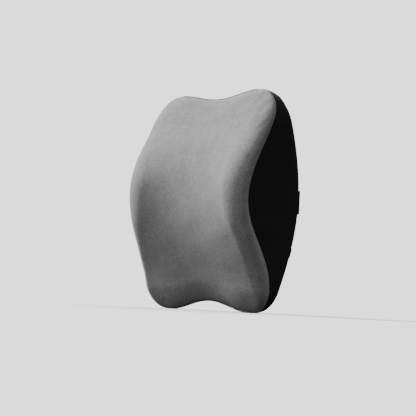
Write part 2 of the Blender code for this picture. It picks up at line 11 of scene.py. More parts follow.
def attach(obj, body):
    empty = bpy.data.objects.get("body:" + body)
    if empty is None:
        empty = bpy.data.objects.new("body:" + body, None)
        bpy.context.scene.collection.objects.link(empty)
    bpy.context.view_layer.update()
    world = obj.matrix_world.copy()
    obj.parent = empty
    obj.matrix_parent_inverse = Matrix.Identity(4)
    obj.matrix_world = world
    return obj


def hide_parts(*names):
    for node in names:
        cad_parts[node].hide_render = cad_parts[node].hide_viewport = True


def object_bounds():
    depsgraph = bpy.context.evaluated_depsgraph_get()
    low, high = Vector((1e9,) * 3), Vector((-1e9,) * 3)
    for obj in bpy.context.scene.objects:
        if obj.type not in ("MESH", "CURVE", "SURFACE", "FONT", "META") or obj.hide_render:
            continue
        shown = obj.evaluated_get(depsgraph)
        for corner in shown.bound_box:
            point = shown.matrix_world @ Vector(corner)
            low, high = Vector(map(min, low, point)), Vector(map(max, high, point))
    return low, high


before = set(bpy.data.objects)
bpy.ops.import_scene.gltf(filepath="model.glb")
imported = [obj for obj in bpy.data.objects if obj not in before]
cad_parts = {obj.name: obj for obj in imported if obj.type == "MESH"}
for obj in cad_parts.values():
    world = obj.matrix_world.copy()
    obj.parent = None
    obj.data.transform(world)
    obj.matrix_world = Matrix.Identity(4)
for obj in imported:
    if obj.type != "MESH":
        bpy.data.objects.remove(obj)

bl_info = {
    "name": "Neck pillow dresser",
    "version": (1, 0, 0),
    "blender": (4, 5, 0),
    "location": "3D View > Sidebar > Pillow",
    "description": "Sews the cover, strap and zip of a car neck pillow around its packed model",
    "category": "Object",
}

CAD_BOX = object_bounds()
PHOTO_WIDTH = 416
SENSOR_MM = 36.0

# The form: the band over which the side leans out, and the share of a corner's depth that its turn takes.
WING_BAND = 0.030
CORNER_SHARE = 0.62
RIDGE_TURN = 30.0
NEAR_SEAM = [0.0, 0.00012, 0.00035, 0.0007, 0.0012, 0.0019, 0.0028, 0.0040]

# The cover: its stretch over the foam, the gathers along its side seams and the hems beside the zip.
COVER_STRETCH = 1.03
SWELL_ROOM = 0.012
SETTLE_FRAMES = 20
WELD = 0.000004
DRIFT_FADE = 0.03
GUSSET_DRIFT_FADE = 0.02
GATHER = 0.0085
GATHER_FADE = 0.004
GATHER_START = 0.002
HEM_RISE = 0.0008
HEM_WIDTH = 0.0045
HEM_EASE = 0.003
HEM_ENDS = (0.0010, 0.0030)
HEM_STITCH = 0.0024
HEM_STITCH_PAST = 0.004
STITCH_SHARE = 0.72
STITCH_SINK = 0.00025
STITCH_SINK_WIDTH = 0.0005
STITCH_PROUD = 0.0002
# How far the dark seam cord stands above the top and bottom ridges, where it shows as a dark line.
RIDGE_PROUD = 0.0003
FOAM_DEPTH = 0.0030
FOAM_WELD = 0.00002
MIRROR = np.array([-1.0, 1.0, 1.0])

# The weaves: loops of the knit, ribs and warp of the webbing, and the zip tape's herringbone.
WALE = 0.0011
COURSE = 0.0009
WEBBING_RIB = 0.0014
WEBBING_WARP = 0.0011
TAPE_TWILL = 0.0007
TAPE_ZIGZAG = 0.0022

# The webbing: its bends, how deep it goes into the seam, its steps and the insets of its stitches.
WEBBING_BEND = 0.0012
WEBBING_EDGE = 0.0004
SEAM_TUCK = 0.003
STEP_SLOPE = 1.6
FOLD_SHARE = 0.54
SEWN_INSET = 0.0035
SEWN_END = 0.0022
HEM_ROWS = (0.0045, 0.0018)
HEM_ROW_PAST = 0.002
SEWN_PITCH = 0.7

# The zip: a tooth's outline from head to root, soft edges, and the slider's rails, neck, arch and grip.
TOOTH_WIDTH = 0.0014
TOOTH_PLACES = (0.0, 0.17, 0.34, 0.50, 0.67, 0.84, 1.0)
TOOTH_WIDTHS = (0.80, 1.12, 1.10, 0.66, 0.62, 0.86, 1.0)
TOOTH_EDGE = 0.00014
TOOTH_CORD_LIFT = 0.0002
TOOTH_CORD_INSET = 0.35
TAPE_EDGE = 0.0001
SLIDER_EDGE = 0.00012
PLATE_FULLNESS = 3.2
PLATE_NARROWING = 0.16
ARCH_TOP = 0.92
ARCH_BEND = 0.0012
ARCH_EDGE = 0.00025
PULL_EDGE = 0.00022
PULL_WAIST = 0.16
PULL_WAIST_PLACE = 0.0022
PULL_WAIST_WIDTH = 0.0024
PULL_TIP = 0.22
RAIL_LENGTH = 0.0066
RAIL_WIDTH = 0.0004
RAIL_PLACE = -0.0004
RAIL_BITE = 0.0001
NECK_LENGTH = 0.0030
NECK_WIDTH = 0.0003
NECK_PLACE = 0.0030
GRIP_ENDS = (0.0026, 0.0034)
GRIP_DEPTH = 0.00026
GRIP_RIB = 0.0022
GRIP_RIB_HEIGHT = 0.00018
LYING = Matrix(((1.0, 0.0, 0.0, 0.0), (0.0, 0.0, 1.0, 0.0), (0.0, 1.0, 0.0, 0.0), (0.0, 0.0, 0.0, 1.0)))

# The stage: the floor's half width, its drop below the pillow, and the aim's place behind the side seam.
FLOOR_HALF = 60.0
FLOOR_DROP = 0.0002
AIM_BEHIND = 0.0026


def length(name, description, default):
    return FloatProperty(
        name=name, description=description, default=default, subtype="DISTANCE", unit="LENGTH")


def ratio(name, description, default):
    return FloatProperty(name=name, description=description, default=default)


def angle(name, description, degrees):
    return FloatProperty(
        name=name, description=description, default=math.radians(degrees), subtype="ANGLE")


def colour(name, description, default):
    return FloatVectorProperty(
        name=name, description=description, default=default, size=3, min=0.0, max=1.0, subtype="COLOR")


class PillowForm(bpy.types.PropertyGroup):
    """The sizes of the pillow's outer form."""
    height: length("Height", "From the lowest lobe to the highest horn", 0.290)
    end_half_width: length("End half width", "Half the width near the top and bottom", 0.132)
    waist: length("Waist", "How much the sides draw in at mid-height", 0.0056)
    top_flare: length("Top flare", "How much wider the top is than the middle", 0.0021)
    top_corner: length("Top corner", "Radius of the top corners seen from the front", 0.045)
    bottom_corner: length("Bottom corner", "Radius of the bottom corners seen from the front", 0.031)
    top_saddle: length("Top saddle", "Dip in the middle of the top edge", 0.0091)
    bottom_saddle: length("Bottom saddle", "Arch in the middle of the bottom edge", 0.0135)
    saddle_width: length("Saddle width", "Width of the dip and of the arch", 0.180)
    front_spread: ratio("Front saddle spread", "How fast the saddle fades down the front", 2.0)
    back_spread: ratio("Back saddle spread", "How fast the saddle fades down the back", 5.0)
    edge_round: length("Edge round", "Height over which the top and bottom edges close", 0.013)
    front_round_top: length("Front round at the top", "Height over which the front closes above", 0.0350)
    front_round_bottom: length("Front round at the bottom", "Height over which it closes below", 0.0307)
    front_edge: length("Front edge", "Thickness in front of the ridge seam at the ends", 0.0117)
    front_swell: length("Front swell", "How far the wings stand out at their fullest", 0.0469)
    front_height: length("Front swell height", "Where the wings are fullest, above mid-height", 0.0138)
    front_above: length("Front swell above", "Reach of that swell upwards", 0.1290)
    front_below: length("Front swell below", "Reach of that swell downwards", 0.1707)
    front_power: ratio("Front swell power", "Below 1 the swell is fuller than a cosine", 0.90)
    seam_swell: length("Seam swell", "How far the side seam bows forward at mid-height", 0.0393)
    seam_above: length("Seam swell above", "Reach of that bow upwards", 0.1398)
    seam_below: length("Seam swell below", "Reach of that bow downwards", 0.1123)
    back_edge: length("Back edge", "Thickness behind the ridge seam at the ends", 0.0133)
    back_swell: length("Back swell", "How far the back stands out at mid-height", 0.0356)
    back_above: length("Back swell above", "Reach of that swell upwards", 0.145)
    back_below: length("Back swell below", "Reach of that swell downwards", 0.137)
    back_power: ratio("Back swell power", "Below 1 the swell is fuller than a cosine", 0.486)
    back_crest: length("Back crest", "The back's furthest point along Y", -0.0016)
    cradle_depth: length("Cradle depth", "Depth of the hollow between the wings", 0.0127)
    cradle_power: ratio("Cradle power", "Above 1 the hollow fades faster up and down than a cosine", 1.95)
    wing_reach_top: length("Wing reach at the top", "Width of the turn from front to side band", 0.0341)
    wing_reach_middle: length("Wing reach in the middle", "Its width at mid-height", 0.0267)
    wing_reach_bottom: length("Wing reach at the bottom", "Its width at the bottom", 0.0099)
    wing_depth: length("Wing depth", "Most depth of that turn", 0.0219)
    wing_flare: length("Wing flare", "How much the side band leans out towards the front", 0.0060)
    rear_radius: length("Rear radius", "Radius of the rear corners", 0.014)


class PillowCloth(bpy.types.PropertyGroup):
    """How the cover is sewn, and its colours."""
    wall: length("Wall", "Thickness of the cover cloth", 0.0009)
    seam_roll: length("Seam roll", "Radius over which cloth turns down into a seam", 0.0010)
    drift: length("Drift", "How far the filled cover wanders from its drawn form", 0.00035)
    fill_pressure: ratio("Fill pressure", "How hard the foam presses the cover out in the simulation", 6.0)
    fill_reach: length("Fill reach", "Furthest that the simulation may press the cover out", 0.0005)
    pucker: length("Pucker", "Height of the small gathers along the side seams", 0.00016)
    stitch: length("Stitch", "Distance from one stitch to the next", 0.0034)
    thread: length("Thread", "Thickness of the sewing thread", 0.0005)
    # The seam cord is no part of the real cover: a dark cord that closes the gaps between panels, paints the
    # seam grooves' shade as a dark line, and shows as a dark line over the top and bottom ridges.
    binding: length("Binding", "Thickness of the black cord sewn into the seams", 0.0012)
    binding_depth: length("Binding depth", "How deep that cord lies in the seams", 0.0011)
    velour_colour: colour("Velour", "Colour of the velour front", (0.309, 0.297, 0.300))
    knit_colour: colour("Knit", "Colour of the knitted sides and back", (0.025, 0.0238, 0.0258))
    foam_colour: colour("Foam", "Colour of the foam block", (0.78, 0.74, 0.60))


class PillowZip(bpy.types.PropertyGroup):
    """The zip across the lower back."""
    height: length("Height", "Where the zip lies, from mid-height", -0.066)
    length: length("Length", "Length of the tapes", 0.190)
    opening: length("Opening", "Half the distance between the two folded edges", 0.0052)
    channel: length("Channel", "Distance between the two rows of teeth", 0.0006)
    pitch: length("Pitch", "Distance from one tooth to the next in a row", 0.0030)
    tooth: length("Tooth", "Thickness of the teeth", 0.0014)
    tooth_reach: length("Tooth reach", "Length of a tooth from its cord to its head", 0.0027)
    cord: length("Cord", "Thickness of the cord that the teeth sit on", 0.0010)
    stop: length("Stop", "Length of each end stop", 0.0045)
    play: length("Play", "Room left between the slider and what it runs past", 0.0003)
    tape_width: length("Tape width", "Width of each tape", 0.0077)
    tape: length("Tape", "Thickness of the tapes", 0.0006)
    slider_length: length("Slider length", "Length of the slider's plates", 0.0110)
    slider_width: length("Slider width", "Width of the slider's plates", 0.0086)
    plate: length("Plate", "Thickness of the slider's plates", 0.0008)
    bridge_length: length("Bridge length", "Length of the arch over the slider", 0.0070)
    bridge_height: length("Bridge height", "Height of that arch", 0.0034)
    bridge_bar: length("Bridge bar", "Thickness of the arch", 0.0010)
    bridge_width: length("Bridge width", "Width of the arch", 0.0022)
    pull_length: length("Pull length", "Length of the pull tab", 0.0240)
    pull_width: length("Pull width", "Width of the pull tab", 0.0064)
    pull_thickness: length("Pull thickness", "Thickness of the pull tab", 0.0011)
    pull_eye: length("Pull eye", "Width of the eye that the bridge goes through", 0.0034)
    enamel_colour: colour("Enamel", "Colour of the slider and its pull", (0.020, 0.020, 0.022))


class PillowStrap(bpy.types.PropertyGroup):
    """The headrest strap, stowed flat across the back, and its ladder-lock buckle."""
    width: length("Width", "Width of the webbing", 0.030)
    thickness: length("Thickness", "Thickness of the webbing", 0.0013)
    gap: length("Gap", "Clearance between the webbing and what it lies on", 0.0003)
    tail: length("Tail", "Length of the free end past the buckle", 0.042)
    tab_return: length("Tab return", "Length sewn back on the short side", 0.020)
    rise: length("Rise", "How far the strap lifts to clear its own tail", 0.0003)
    hem: length("Hem", "Length folded over at the end of the tail", 0.009)
    buckle_x: length("Buckle place", "Where the buckle's middle bar lies along X", 0.074)
    buckle_thickness: length("Buckle thickness", "Thickness of the moulded buckle", 0.0026)
    end_bar: length("End bar", "Width of the buckle's two end bars", 0.0036)
    middle_bar: length("Middle bar", "Width of the buckle's middle bar", 0.0040)
    buckle_slot: length("Slot", "Width of the buckle's two slots", 0.0062)
    webbing_colour: colour("Webbing", "Colour of the elastic webbing", (0.024, 0.024, 0.025))
    buckle_colour: colour("Buckle", "Colour of the moulded buckle and teeth", (0.020, 0.020, 0.021))


class PillowStage(bpy.types.PropertyGroup):
    """The camera's place and the studio light."""
    azimuth: angle("Azimuth", "Camera direction, turned from the front towards the pillow's +X side", 53.85)
    elevation: angle("Elevation", "Camera direction above the horizon", -2.94)
    roll: angle("Roll", "Camera roll", 2.77)
    distance: length("Distance", "From the camera to the pillow", 2.515)
    scale: ratio("Scale", "Photo pixels for each metre at the pillow", 751.7)
    aim_right: length("Aim right", "Aim point right of the pillow's middle", -0.0103)
    aim_up: length("Aim up", "Aim point above the pillow's middle", -0.0090)
    key_azimuth: angle("Key azimuth", "Key light direction, turned from the front towards +X", -74.0)
    key_elevation: angle("Key elevation", "Height of the key light", 34.0)
    key_softness: angle("Key softness", "Angular size of the key light", 17.0)
    key_strength: ratio("Key strength", "Irradiance of the key light", 7.2)
    front_fill_azimuth: angle("Front azimuth", "Direction of the broad light from the front", -30.0)
    front_fill_elevation: angle("Front elevation", "Height of that light", 30.0)
    front_fill_softness: angle("Front softness", "Angular size of that light", 20.0)
    front_fill_strength: ratio("Front strength", "Irradiance of that light", 0.70)
    ambient_strength: ratio("Ambient strength", "Even light from all round", 0.08)
    sky_strength: ratio("Sky strength", "Extra light from above", 0.72)
    back_fill_azimuth: angle("Back azimuth", "Direction of the light on the back", 222.0)
    back_fill_elevation: angle("Back elevation", "Height of that light", 35.0)
    back_fill_softness: angle("Back softness", "Angular size of that light", 24.0)
    back_fill_strength: ratio("Back strength", "Irradiance of that light", 3.0)
    backdrop_strength: ratio("Backdrop strength", "Brightness of the backdrop as the camera sees it", 2.1)
    floor_colour: colour("Floor", "Colour of the floor", (0.85, 0.85, 0.85))


class Form:
    """The pillow's outer surface, worked out from its sizes."""

    def __init__(self, sizes):
        self.s = sizes
        self.half_height = sizes.height / 2
        self.edge_y = sizes.back_crest - sizes.back_edge - sizes.back_swell

    def closing(self, z, round_length):
        """How open the profile is: 1 up to the rounded end of its height, and 0 at the very end."""
        into_end = (abs(z) - (self.half_height - round_length)) / round_length
        return math.sqrt(1 - min(max(into_end, 0.0), 1.0) ** 2)

    def section(self, h):
        """Sizes of the plan outline at profile height h, from -1 to 1."""
        s = self.s
        z = self.half_height * h
        corner = s.top_corner if h > 0 else s.bottom_corner
        full = s.end_half_width - s.waist * (1 - h * h) + s.top_flare * h
        half_width = full - corner * (1 - self.closing(z, corner))
        close = self.closing(z, s.edge_round)
        close_front = self.closing(z, s.front_round_top if h > 0 else s.front_round_bottom)
        above_swell = z - s.front_height
        front = bell(above_swell, s.front_above, s.front_below, s.front_power)
        crest = self.edge_y - close_front * (s.front_edge + s.front_swell * front)
        seam = self.edge_y - close * s.seam_swell * bell(z, s.seam_above, s.seam_below, 1.0)
        back = self.edge_y + close * (
            s.back_edge + s.back_swell * bell(z, s.back_above, s.back_below, s.back_power))
        cradle = s.cradle_depth * bell(above_swell, s.front_above, s.front_below, s.cradle_power)
        return half_width, crest, seam, back, cradle

    def lift(self, x, h, spread):
        """How far the saddle in the top and bottom edges moves points up or down."""
        s = self.s
        dip = 0.5 * (1 + np.cos(np.pi * np.clip(np.abs(x) / (s.saddle_width / 2), 0, 1)))
        if h > 0:
            return -s.top_saddle * dip * h ** spread
        return s.bottom_saddle * dip * (-h) ** spread

    def front_run(self, h):
        """The front edge in plan, from one side seam to the other."""
        s = self.s
        half_width, crest, seam, _, cradle = self.section(h)
        wing = half_width + s.wing_flare * min(max((seam - crest) / WING_BAND, 0.0), 1.3)
        depth = max(min(s.wing_depth, CORNER_SHARE * (seam - crest)), 1e-6)
        tilt = (s.wing_reach_top - s.wing_reach_bottom) / 2
        bow = (s.wing_reach_top + s.wing_reach_bottom) / 2 - s.wing_reach_middle
        reach = s.wing_reach_middle + tilt * h + bow * h * h
        middle = wing - reach
        lean, x_join, rise = 0.0, middle, cradle
        for _ in range(12):
            lean = math.atan(2 * rise * reach / (depth * x_join))
            x_join = middle - reach * math.sin(lean)
            rise = cradle - depth * (1 - math.cos(lean))
        t = np.linspace(0, 1, 60, endpoint=False)
        x = t * x_join
        y = crest + cradle - rise * t * t
        a = np.linspace(-lean, math.pi / 2, 36)
        x = np.concatenate([x, middle + reach * np.sin(a)])
        y = np.concatenate([y, crest + depth * (1 - np.cos(a))])
        b = np.linspace(0, 1, 12)[1:]
        x = np.concatenate([x, wing + b * (half_width - wing)])
        y = np.concatenate([y, crest + depth + b * (seam - crest - depth)])
        half = np.stack([x, y], axis=1)
        other = half[:0:-1] * MIRROR[:2]
        return np.concatenate([other, half])

    def rear_corner(self, h, start, end, count):
        """Part of the +X rear corner in plan, between two angles of its turn."""
        s = self.s
        half_width, _, seam, back, _ = self.section(h)
        depth = min(s.rear_radius, CORNER_SHARE * (back - seam))
        a = np.linspace(start, end, count)
        x = half_width - s.rear_radius * (1 - np.cos(a))
        y = back - depth * (1 - np.sin(a))
        return np.stack([x, y], axis=1)

    def side_run(self, h):
        """The +X gusset's edge in plan, from the front seam to the rear seam."""
        half_width, _, seam, _, _ = self.section(h)
        corner = self.rear_corner(h, 0.0, math.pi / 4, 12)
        y = np.linspace(seam, corner[0][1], 20, endpoint=False)
        flat = np.stack([np.full(20, half_width), y], axis=1)
        return np.concatenate([flat, corner])

    def back_run(self, h):
        """The back edge in plan, from the +X rear seam to the -X one."""
        corner = self.rear_corner(h, math.pi / 4, math.pi / 2, 12)
        x = np.linspace(corner[-1][0], 0.0, 24)[1:]
        flat = np.stack([x, np.full(len(x), corner[-1][1])], axis=1)
        half = np.concatenate([corner, flat])
        other = half[-2::-1] * MIRROR[:2]
        return np.concatenate([half, other])


def bell(z, above, below, power):
    """A swell that is 1 at mid-height and 0 at its foot, each side with its own reach."""
    t = min(abs(z) / (above if z > 0 else below), 1.0)
    return (0.5 * (1 + math.cos(math.pi * t))) ** power


def smooth_step(value, start, end):
    """0 up to the start, 1 from the end on, and a smooth rise between them."""
    t = np.clip((value - start) / (end - start), 0.0, 1.0)
    return t * t * (3 - 2 * t)


def seam_spacing(total, count, scale=1.0):
    """Places from 0 to a total length: even in the middle, and close together at both seams."""
    fine = [d * scale for d in NEAR_SEAM if d * scale < total / 4]
    middle = list(np.linspace(fine[-1], total - fine[-1], count))
    return np.array(fine[:-1] + middle + [total - d for d in reversed(fine[:-1])])


class Skin:
    """One panel's surface, found at any profile angle and any column along its plan run."""

    def __init__(self, form, panel, columns):
        run = getattr(form, panel + "_run")
        spread = form.s.back_spread if panel == "back" else form.s.front_spread
        self.angles = np.linspace(-math.pi / 2, math.pi / 2, 721)
        widest = lengths_along(run(0.0))[-1]
        share = seam_spacing(widest, columns) / widest
        rows = []
        for angle_up in self.angles:
            h = min(max(math.sin(angle_up), -0.999999), 0.999999)
            line = run(h)
            along = lengths_along(line)
            x = np.interp(share * along[-1], along, line[:, 0])
            y = np.interp(share * along[-1], along, line[:, 1])
            rows.append(np.stack([x, y, form.half_height * h + form.lift(x, h, spread)], axis=1))
        self.table = np.array(rows)

    def at(self, angles):
        """Points for a grid of profile angles, one row of angles for each row of the panel."""
        place_in = (np.asarray(angles) - self.angles[0]) / (self.angles[1] - self.angles[0])
        low = np.clip(np.floor(place_in).astype(int), 0, len(self.angles) - 2)
        part = (place_in - low)[..., None]
        column = np.arange(self.table.shape[1])
        return self.table[low, column] * (1 - part) + self.table[low + 1, column] * part

    def whole(self, rows):
        """The panel from the lower ridge seam to the upper one."""
        up = seam_spacing(math.pi, rows, RIDGE_TURN) - math.pi / 2
        return self.at(np.repeat(up[:, None], self.table.shape[1], axis=1))


def normals(points):
    """Unit normals of a grid of points."""
    n = np.cross(np.gradient(points, axis=1), np.gradient(points, axis=0))
    return n / np.maximum(np.linalg.norm(n, axis=2, keepdims=True), 1e-12)


def lengths_along(points, axis=0):
    """Distance over a line or a panel of points from its first edge along one axis."""
    step = np.linalg.norm(np.diff(points, axis=axis), axis=-1)
    zero = np.zeros_like(np.take(step, [0], axis=axis))
    return np.concatenate([zero, np.cumsum(step, axis=axis)], axis=axis)


def from_edges(points, axis, first=True, last=True):
    """Distance over the cloth to the nearer of the panel's edges along one axis."""
    along = lengths_along(points, axis)
    far = np.full_like(along, 1.0)
    if first:
        far = np.minimum(far, along)
    if last:
        far = np.minimum(far, np.take(along, [-1], axis=axis) - along)
    return far


def roll(distance, radius):
    """How deep cloth dips near a seam that it turns down into."""
    t = np.clip(distance / radius, 0, 1)
    return radius * (1 - np.sqrt(1 - (1 - t) ** 2))


def slow_drift(points):
    """A gentle unevenness from -1 to 1, such as a filled cover has, from a few crossed waves."""
    x, y, z = points[..., 0], points[..., 1], points[..., 2]
    waves = ((97, 31, 43, 0.4), (-51, 60, 88, 2.1), (133, -40, 71, 4.0), (60, 95, -117, 1.2))
    return sum(np.sin(a * x + b * y + c * z + start) for a, b, c, start in waves) / len(waves)


def gathers(points, to_side, cloth, phase=0.0):
    """The small gathers of the cloth along a side seam."""
    wave = np.sin(lengths_along(points) * (2 * math.pi / GATHER) + phase)
    return cloth.pucker * wave * np.exp(-to_side / GATHER_FADE) * smooth_step(to_side, 0.0, GATHER_START)


def swell(points, to_seam, cloth, fade):
    """How far a panel stands out of its drawn form: a slow drift, and its turn down into the seams."""
    drift = cloth.drift * slow_drift(points) * smooth_step(to_seam, 0.0, fade)
    return drift - roll(to_seam, cloth.seam_roll)


def settle(piece, cloth):
    """Press the panel out between its seams by cloth simulation, as the foam does, within a limit."""
    scene = bpy.context.scene
    start = np.array([vert.co for vert in piece.data.vertices])
    edge_use = {key: 0 for key in piece.data.edge_keys}
    for face in piece.data.polygons:
        for key in face.edge_keys:
            edge_use[key] += 1
    rim = sorted({vert for key, uses in edge_use.items() if uses == 1 for vert in key})
    piece.vertex_groups.new(name="Seams").add(rim, 1.0, "REPLACE")
    filling = piece.modifiers.new("Filling", "CLOTH")
    filling.settings.vertex_group_mass = "Seams"
    filling.settings.use_pressure = True
    filling.settings.uniform_pressure_force = cloth.fill_pressure
    filling.settings.effector_weights.gravity = 0.0
    for frame_number in range(1, SETTLE_FRAMES + 1):
        scene.frame_set(frame_number)
    shown = piece.evaluated_get(bpy.context.evaluated_depsgraph_get())
    move = np.array([vert.co for vert in shown.data.vertices]) - start
    scene.frame_set(1)
    piece.modifiers.clear()
    piece.vertex_groups.clear()
    size = np.linalg.norm(move, axis=1, keepdims=True)
    move *= cloth.fill_reach / (cloth.fill_reach + size)
    piece.data.vertices.foreach_set("co", (start + move).ravel())
    piece.data.update()


def grid(rows, columns):
    """A flat grid, and the row and column of each of its vertices."""
    bm = bmesh.new()
    bmesh.ops.create_grid(bm, x_segments=columns - 1, y_segments=rows - 1, size=1.0)
    cells = {vert: (round((vert.co.y + 1) / 2 * (rows - 1)), round((vert.co.x + 1) / 2 * (columns - 1)))
             for vert in bm.verts}
    return bm, cells


def map_cloth(bm, cells, u, v):
    """Give a grid its cloth map: two lengths over the cloth, in metres, for each cell."""
    layer = bm.loops.layers.uv.new("Cloth")
    for face in bm.faces:
        for loop in face.loops:
            cell = cells[loop.vert]
            loop[layer].uv = (u[cell], v[cell])


def cloth_panel(name, points, cloth):
    """A flat grid bent to the given points, with a UV map in metres, and its wall inwards."""
    across = lengths_along(points, 1)
    bm, cells = grid(*points.shape[:2])
    map_cloth(bm, cells, across - across[:, -1:] / 2, lengths_along(points))
    drawn = points
    to_seam = np.minimum(from_edges(points, 0), from_edges(points, 1))
    drawn_in = cloth.fill_reach * smooth_step(to_seam, 0.0, SWELL_ROOM)
    drawn = points - normals(points) * drawn_in[..., None]
    for vert, cell in cells.items():
        vert.co = drawn[cell]
    bmesh.ops.remove_doubles(bm, verts=bm.verts, dist=WELD)
    piece = new_piece(name, bm)
    settle(piece, cloth)
    add_wall(piece, cloth.wall, -1.0)
    keep_modifiers(piece)
    return piece


def declare_sheet(points):
    """Work out the area of a cover panel's flat cut before it is stretched over the foam; nothing is done
    with it.
    """
    cell = np.cross(points[1:, :-1] - points[:-1, :-1], points[:-1, 1:] - points[:-1, :-1])
    other = np.cross(points[:-1, 1:] - points[1:, 1:], points[1:, :-1] - points[1:, 1:])
    area = (np.linalg.norm(cell, axis=2).sum() + np.linalg.norm(other, axis=2).sum()) / 2
    area /= COVER_STRETCH ** 2


def new_piece(name, bm):
    """Turn a finished bmesh into an object of the scene."""
    mesh = bpy.data.meshes.new(name)
    bm.to_mesh(mesh)
    bm.free()
    return linked(name, mesh)


def linked(name, mesh):
    """A smooth object of the scene with the given mesh."""
    mesh.shade_smooth()
    piece = bpy.data.objects.new(name, mesh)
    bpy.context.scene.collection.objects.link(piece)
    return piece


def add_wall(piece, thickness, offset):
    thicken = piece.modifiers.new("Wall", "SOLIDIFY")
    thicken.thickness = thickness
    thicken.offset = offset
    return thicken


def add_bevel(piece, width):
    bevel = piece.modifiers.new("Soft edges", "BEVEL")
    bevel.width = width
    bevel.segments = 2
    bevel.limit_method = "ANGLE"
    bevel.angle_limit = math.radians(35)


def keep_modifiers(piece):
    """Keep what the modifiers make as the piece's own mesh."""
    shown = piece.evaluated_get(bpy.context.evaluated_depsgraph_get())
    made = bpy.data.meshes.new_from_object(shown)
    old = piece.data
    piece.modifiers.clear()
    piece.data = made
    bpy.data.meshes.remove(old)
    made.name = piece.name


class Field:
    """A node socket that takes part in Python arithmetic; each step adds its Math node."""

    def __init__(self, tree, socket):
        self.tree = tree
        self.socket = socket

    def node(self, kind, settings=None, output=0, **inputs):
        """Add any node: its settings first, then the values or links of its sockets."""
        made = self.tree.nodes.new(kind)
        for key, value in (settings or {}).items():
            setattr(made, key, value)
        for key, value in inputs.items():
            place(self.tree, socket_named(made, key), value)
        return Field(self.tree, made.outputs[output])

    def math(self, operation, *others):
        values = {f"in_{i}": value for i, value in enumerate((self, *others))}
        return self.node("ShaderNodeMath", {"operation": operation}, **values)

    def __add__(self, other):
        return self.math("ADD", other)

    __radd__ = __add__

    def __mul__(self, other):
        return self.math("MULTIPLY", other)

    __rmul__ = __mul__

    def __sub__(self, other):
        return self.math("SUBTRACT", other)

    def __rsub__(self, other):
        return (self * -1.0) + other

    def clamp(self):
        return self.node("ShaderNodeClamp", Value=self)


def socket_named(node, key):
    """Find an input by its name or, for in_0, in_1 and so on, by its place."""
    if key.startswith("in_"):
        return node.inputs[int(key[3:])]
    return node.inputs[key.replace("_", " ")]


def place(tree, socket, value):
    """Link a field to a socket, or set the socket to a plain value."""
    if isinstance(value, Field):
        tree.links.new(value.socket, socket)
    else:
        socket.default_value = value


class Finish:
    """One material under construction: its tree, its shader and its coordinates."""

    def __init__(self, name):
        self.material = bpy.data.materials.new(name)
        self.material.use_nodes = True
        self.tree = self.material.node_tree
        self.shader = self.tree.nodes["Principled BSDF"]
        self.start = Field(self.tree, self.tree.nodes.new("ShaderNodeTexCoord").outputs["Object"])

    def cloth_map(self):
        """The two lengths over the cloth, in metres, from the piece's own map."""
        place_on = self.start.node("ShaderNodeUVMap", {"uv_map": "Cloth"})
        return [self.start.node("ShaderNodeSeparateXYZ", output=i, Vector=place_on) for i in (0, 1)]

    def noise(self, scale, detail=2.0, rough=0.5):
        return self.start.node(
            "ShaderNodeTexNoise", Vector=self.start, Scale=scale, Detail=detail, Roughness=rough)

    def tint(self, factor, base, low, high):
        """Colour it from a darker to a paler share of a base colour, by a factor from 0 to 1."""
        dark, pale = ((*(min(c * share, 1.0) for c in base), 1.0) for share in (low, high))
        self.set(Base_Color=self.start.node(
            "ShaderNodeMix", {"data_type": "RGBA"}, output=2, in_0=factor, in_6=dark, in_7=pale))

    def ramp(self, factor, start, end):
        """Turn a value into another between two stops, each a place and a value."""
        return self.start.node("ShaderNodeMapRange", {"interpolation_type": "SMOOTHSTEP"}, Value=factor,
                               in_1=start[0], in_2=end[0], in_3=start[1], in_4=end[1])

    def bump(self, height, distance, strength, **under):
        return self.start.node(
            "ShaderNodeBump", Height=height, Distance=distance, Strength=strength, **under)

    def set(self, **values):
        for key, value in values.items():
            place(self.tree, socket_named(self.shader, key), value)


def velour(cloth):
    """Short cut pile: fine grain, slow shading where the nap lies differently, and a pale sheen."""
    finish = Finish("velour_pile")
    grain = finish.noise(520.0, 3.0, 0.7)
    fibre = finish.noise(1900.0, 2.0, 0.7)
    nap = finish.noise(62.0, 4.0, 0.6)
    mix = ((grain - 0.5) * 2.3 + (fibre - 0.5) * 2.8 + (nap - 0.5) * 0.7 + 0.5).clamp()
    finish.tint(mix, cloth.velour_colour, 0.66, 1.34)
    finish.set(Roughness=0.95, Sheen_Weight=0.12, Sheen_Roughness=0.5, Specular_IOR_Level=0.1)
    pile = finish.bump(fibre, 0.0003, 0.5)
    finish.set(Normal=finish.bump(nap, 0.0010, 0.22, Normal=pile))
    return finish.material


def knit(cloth):
    """Fine black jersey: columns of small V-shaped loops along the cloth's own UV map."""
    finish = Finish("jersey_knit")
    u, v = finish.cloth_map()
    wale = (u * (1 / WALE)).math("FRACT")
    slant = (wale - 0.5).math("ABSOLUTE")
    loop = ((v * (1 / COURSE) + slant * 1.2) * (2 * math.pi)).math("SINE") * 0.5 + 0.5
    height = loop * 0.6 + (slant * -2.0 + 1.0) * 0.4
    grain = finish.noise(420.0, 3.0, 0.6)
    mix = (height * 0.5 + grain * 0.5).clamp()
    finish.tint(mix, cloth.knit_colour, 0.6, 1.3)
    finish.set(Roughness=0.9, Sheen_Weight=0.03, Sheen_Roughness=0.4, Specular_IOR_Level=0.15)
    fuzz = finish.bump(grain, 0.0002, 0.4)
    finish.set(Normal=finish.bump(height, 0.00025, 0.6, Normal=fuzz))
    return finish.material


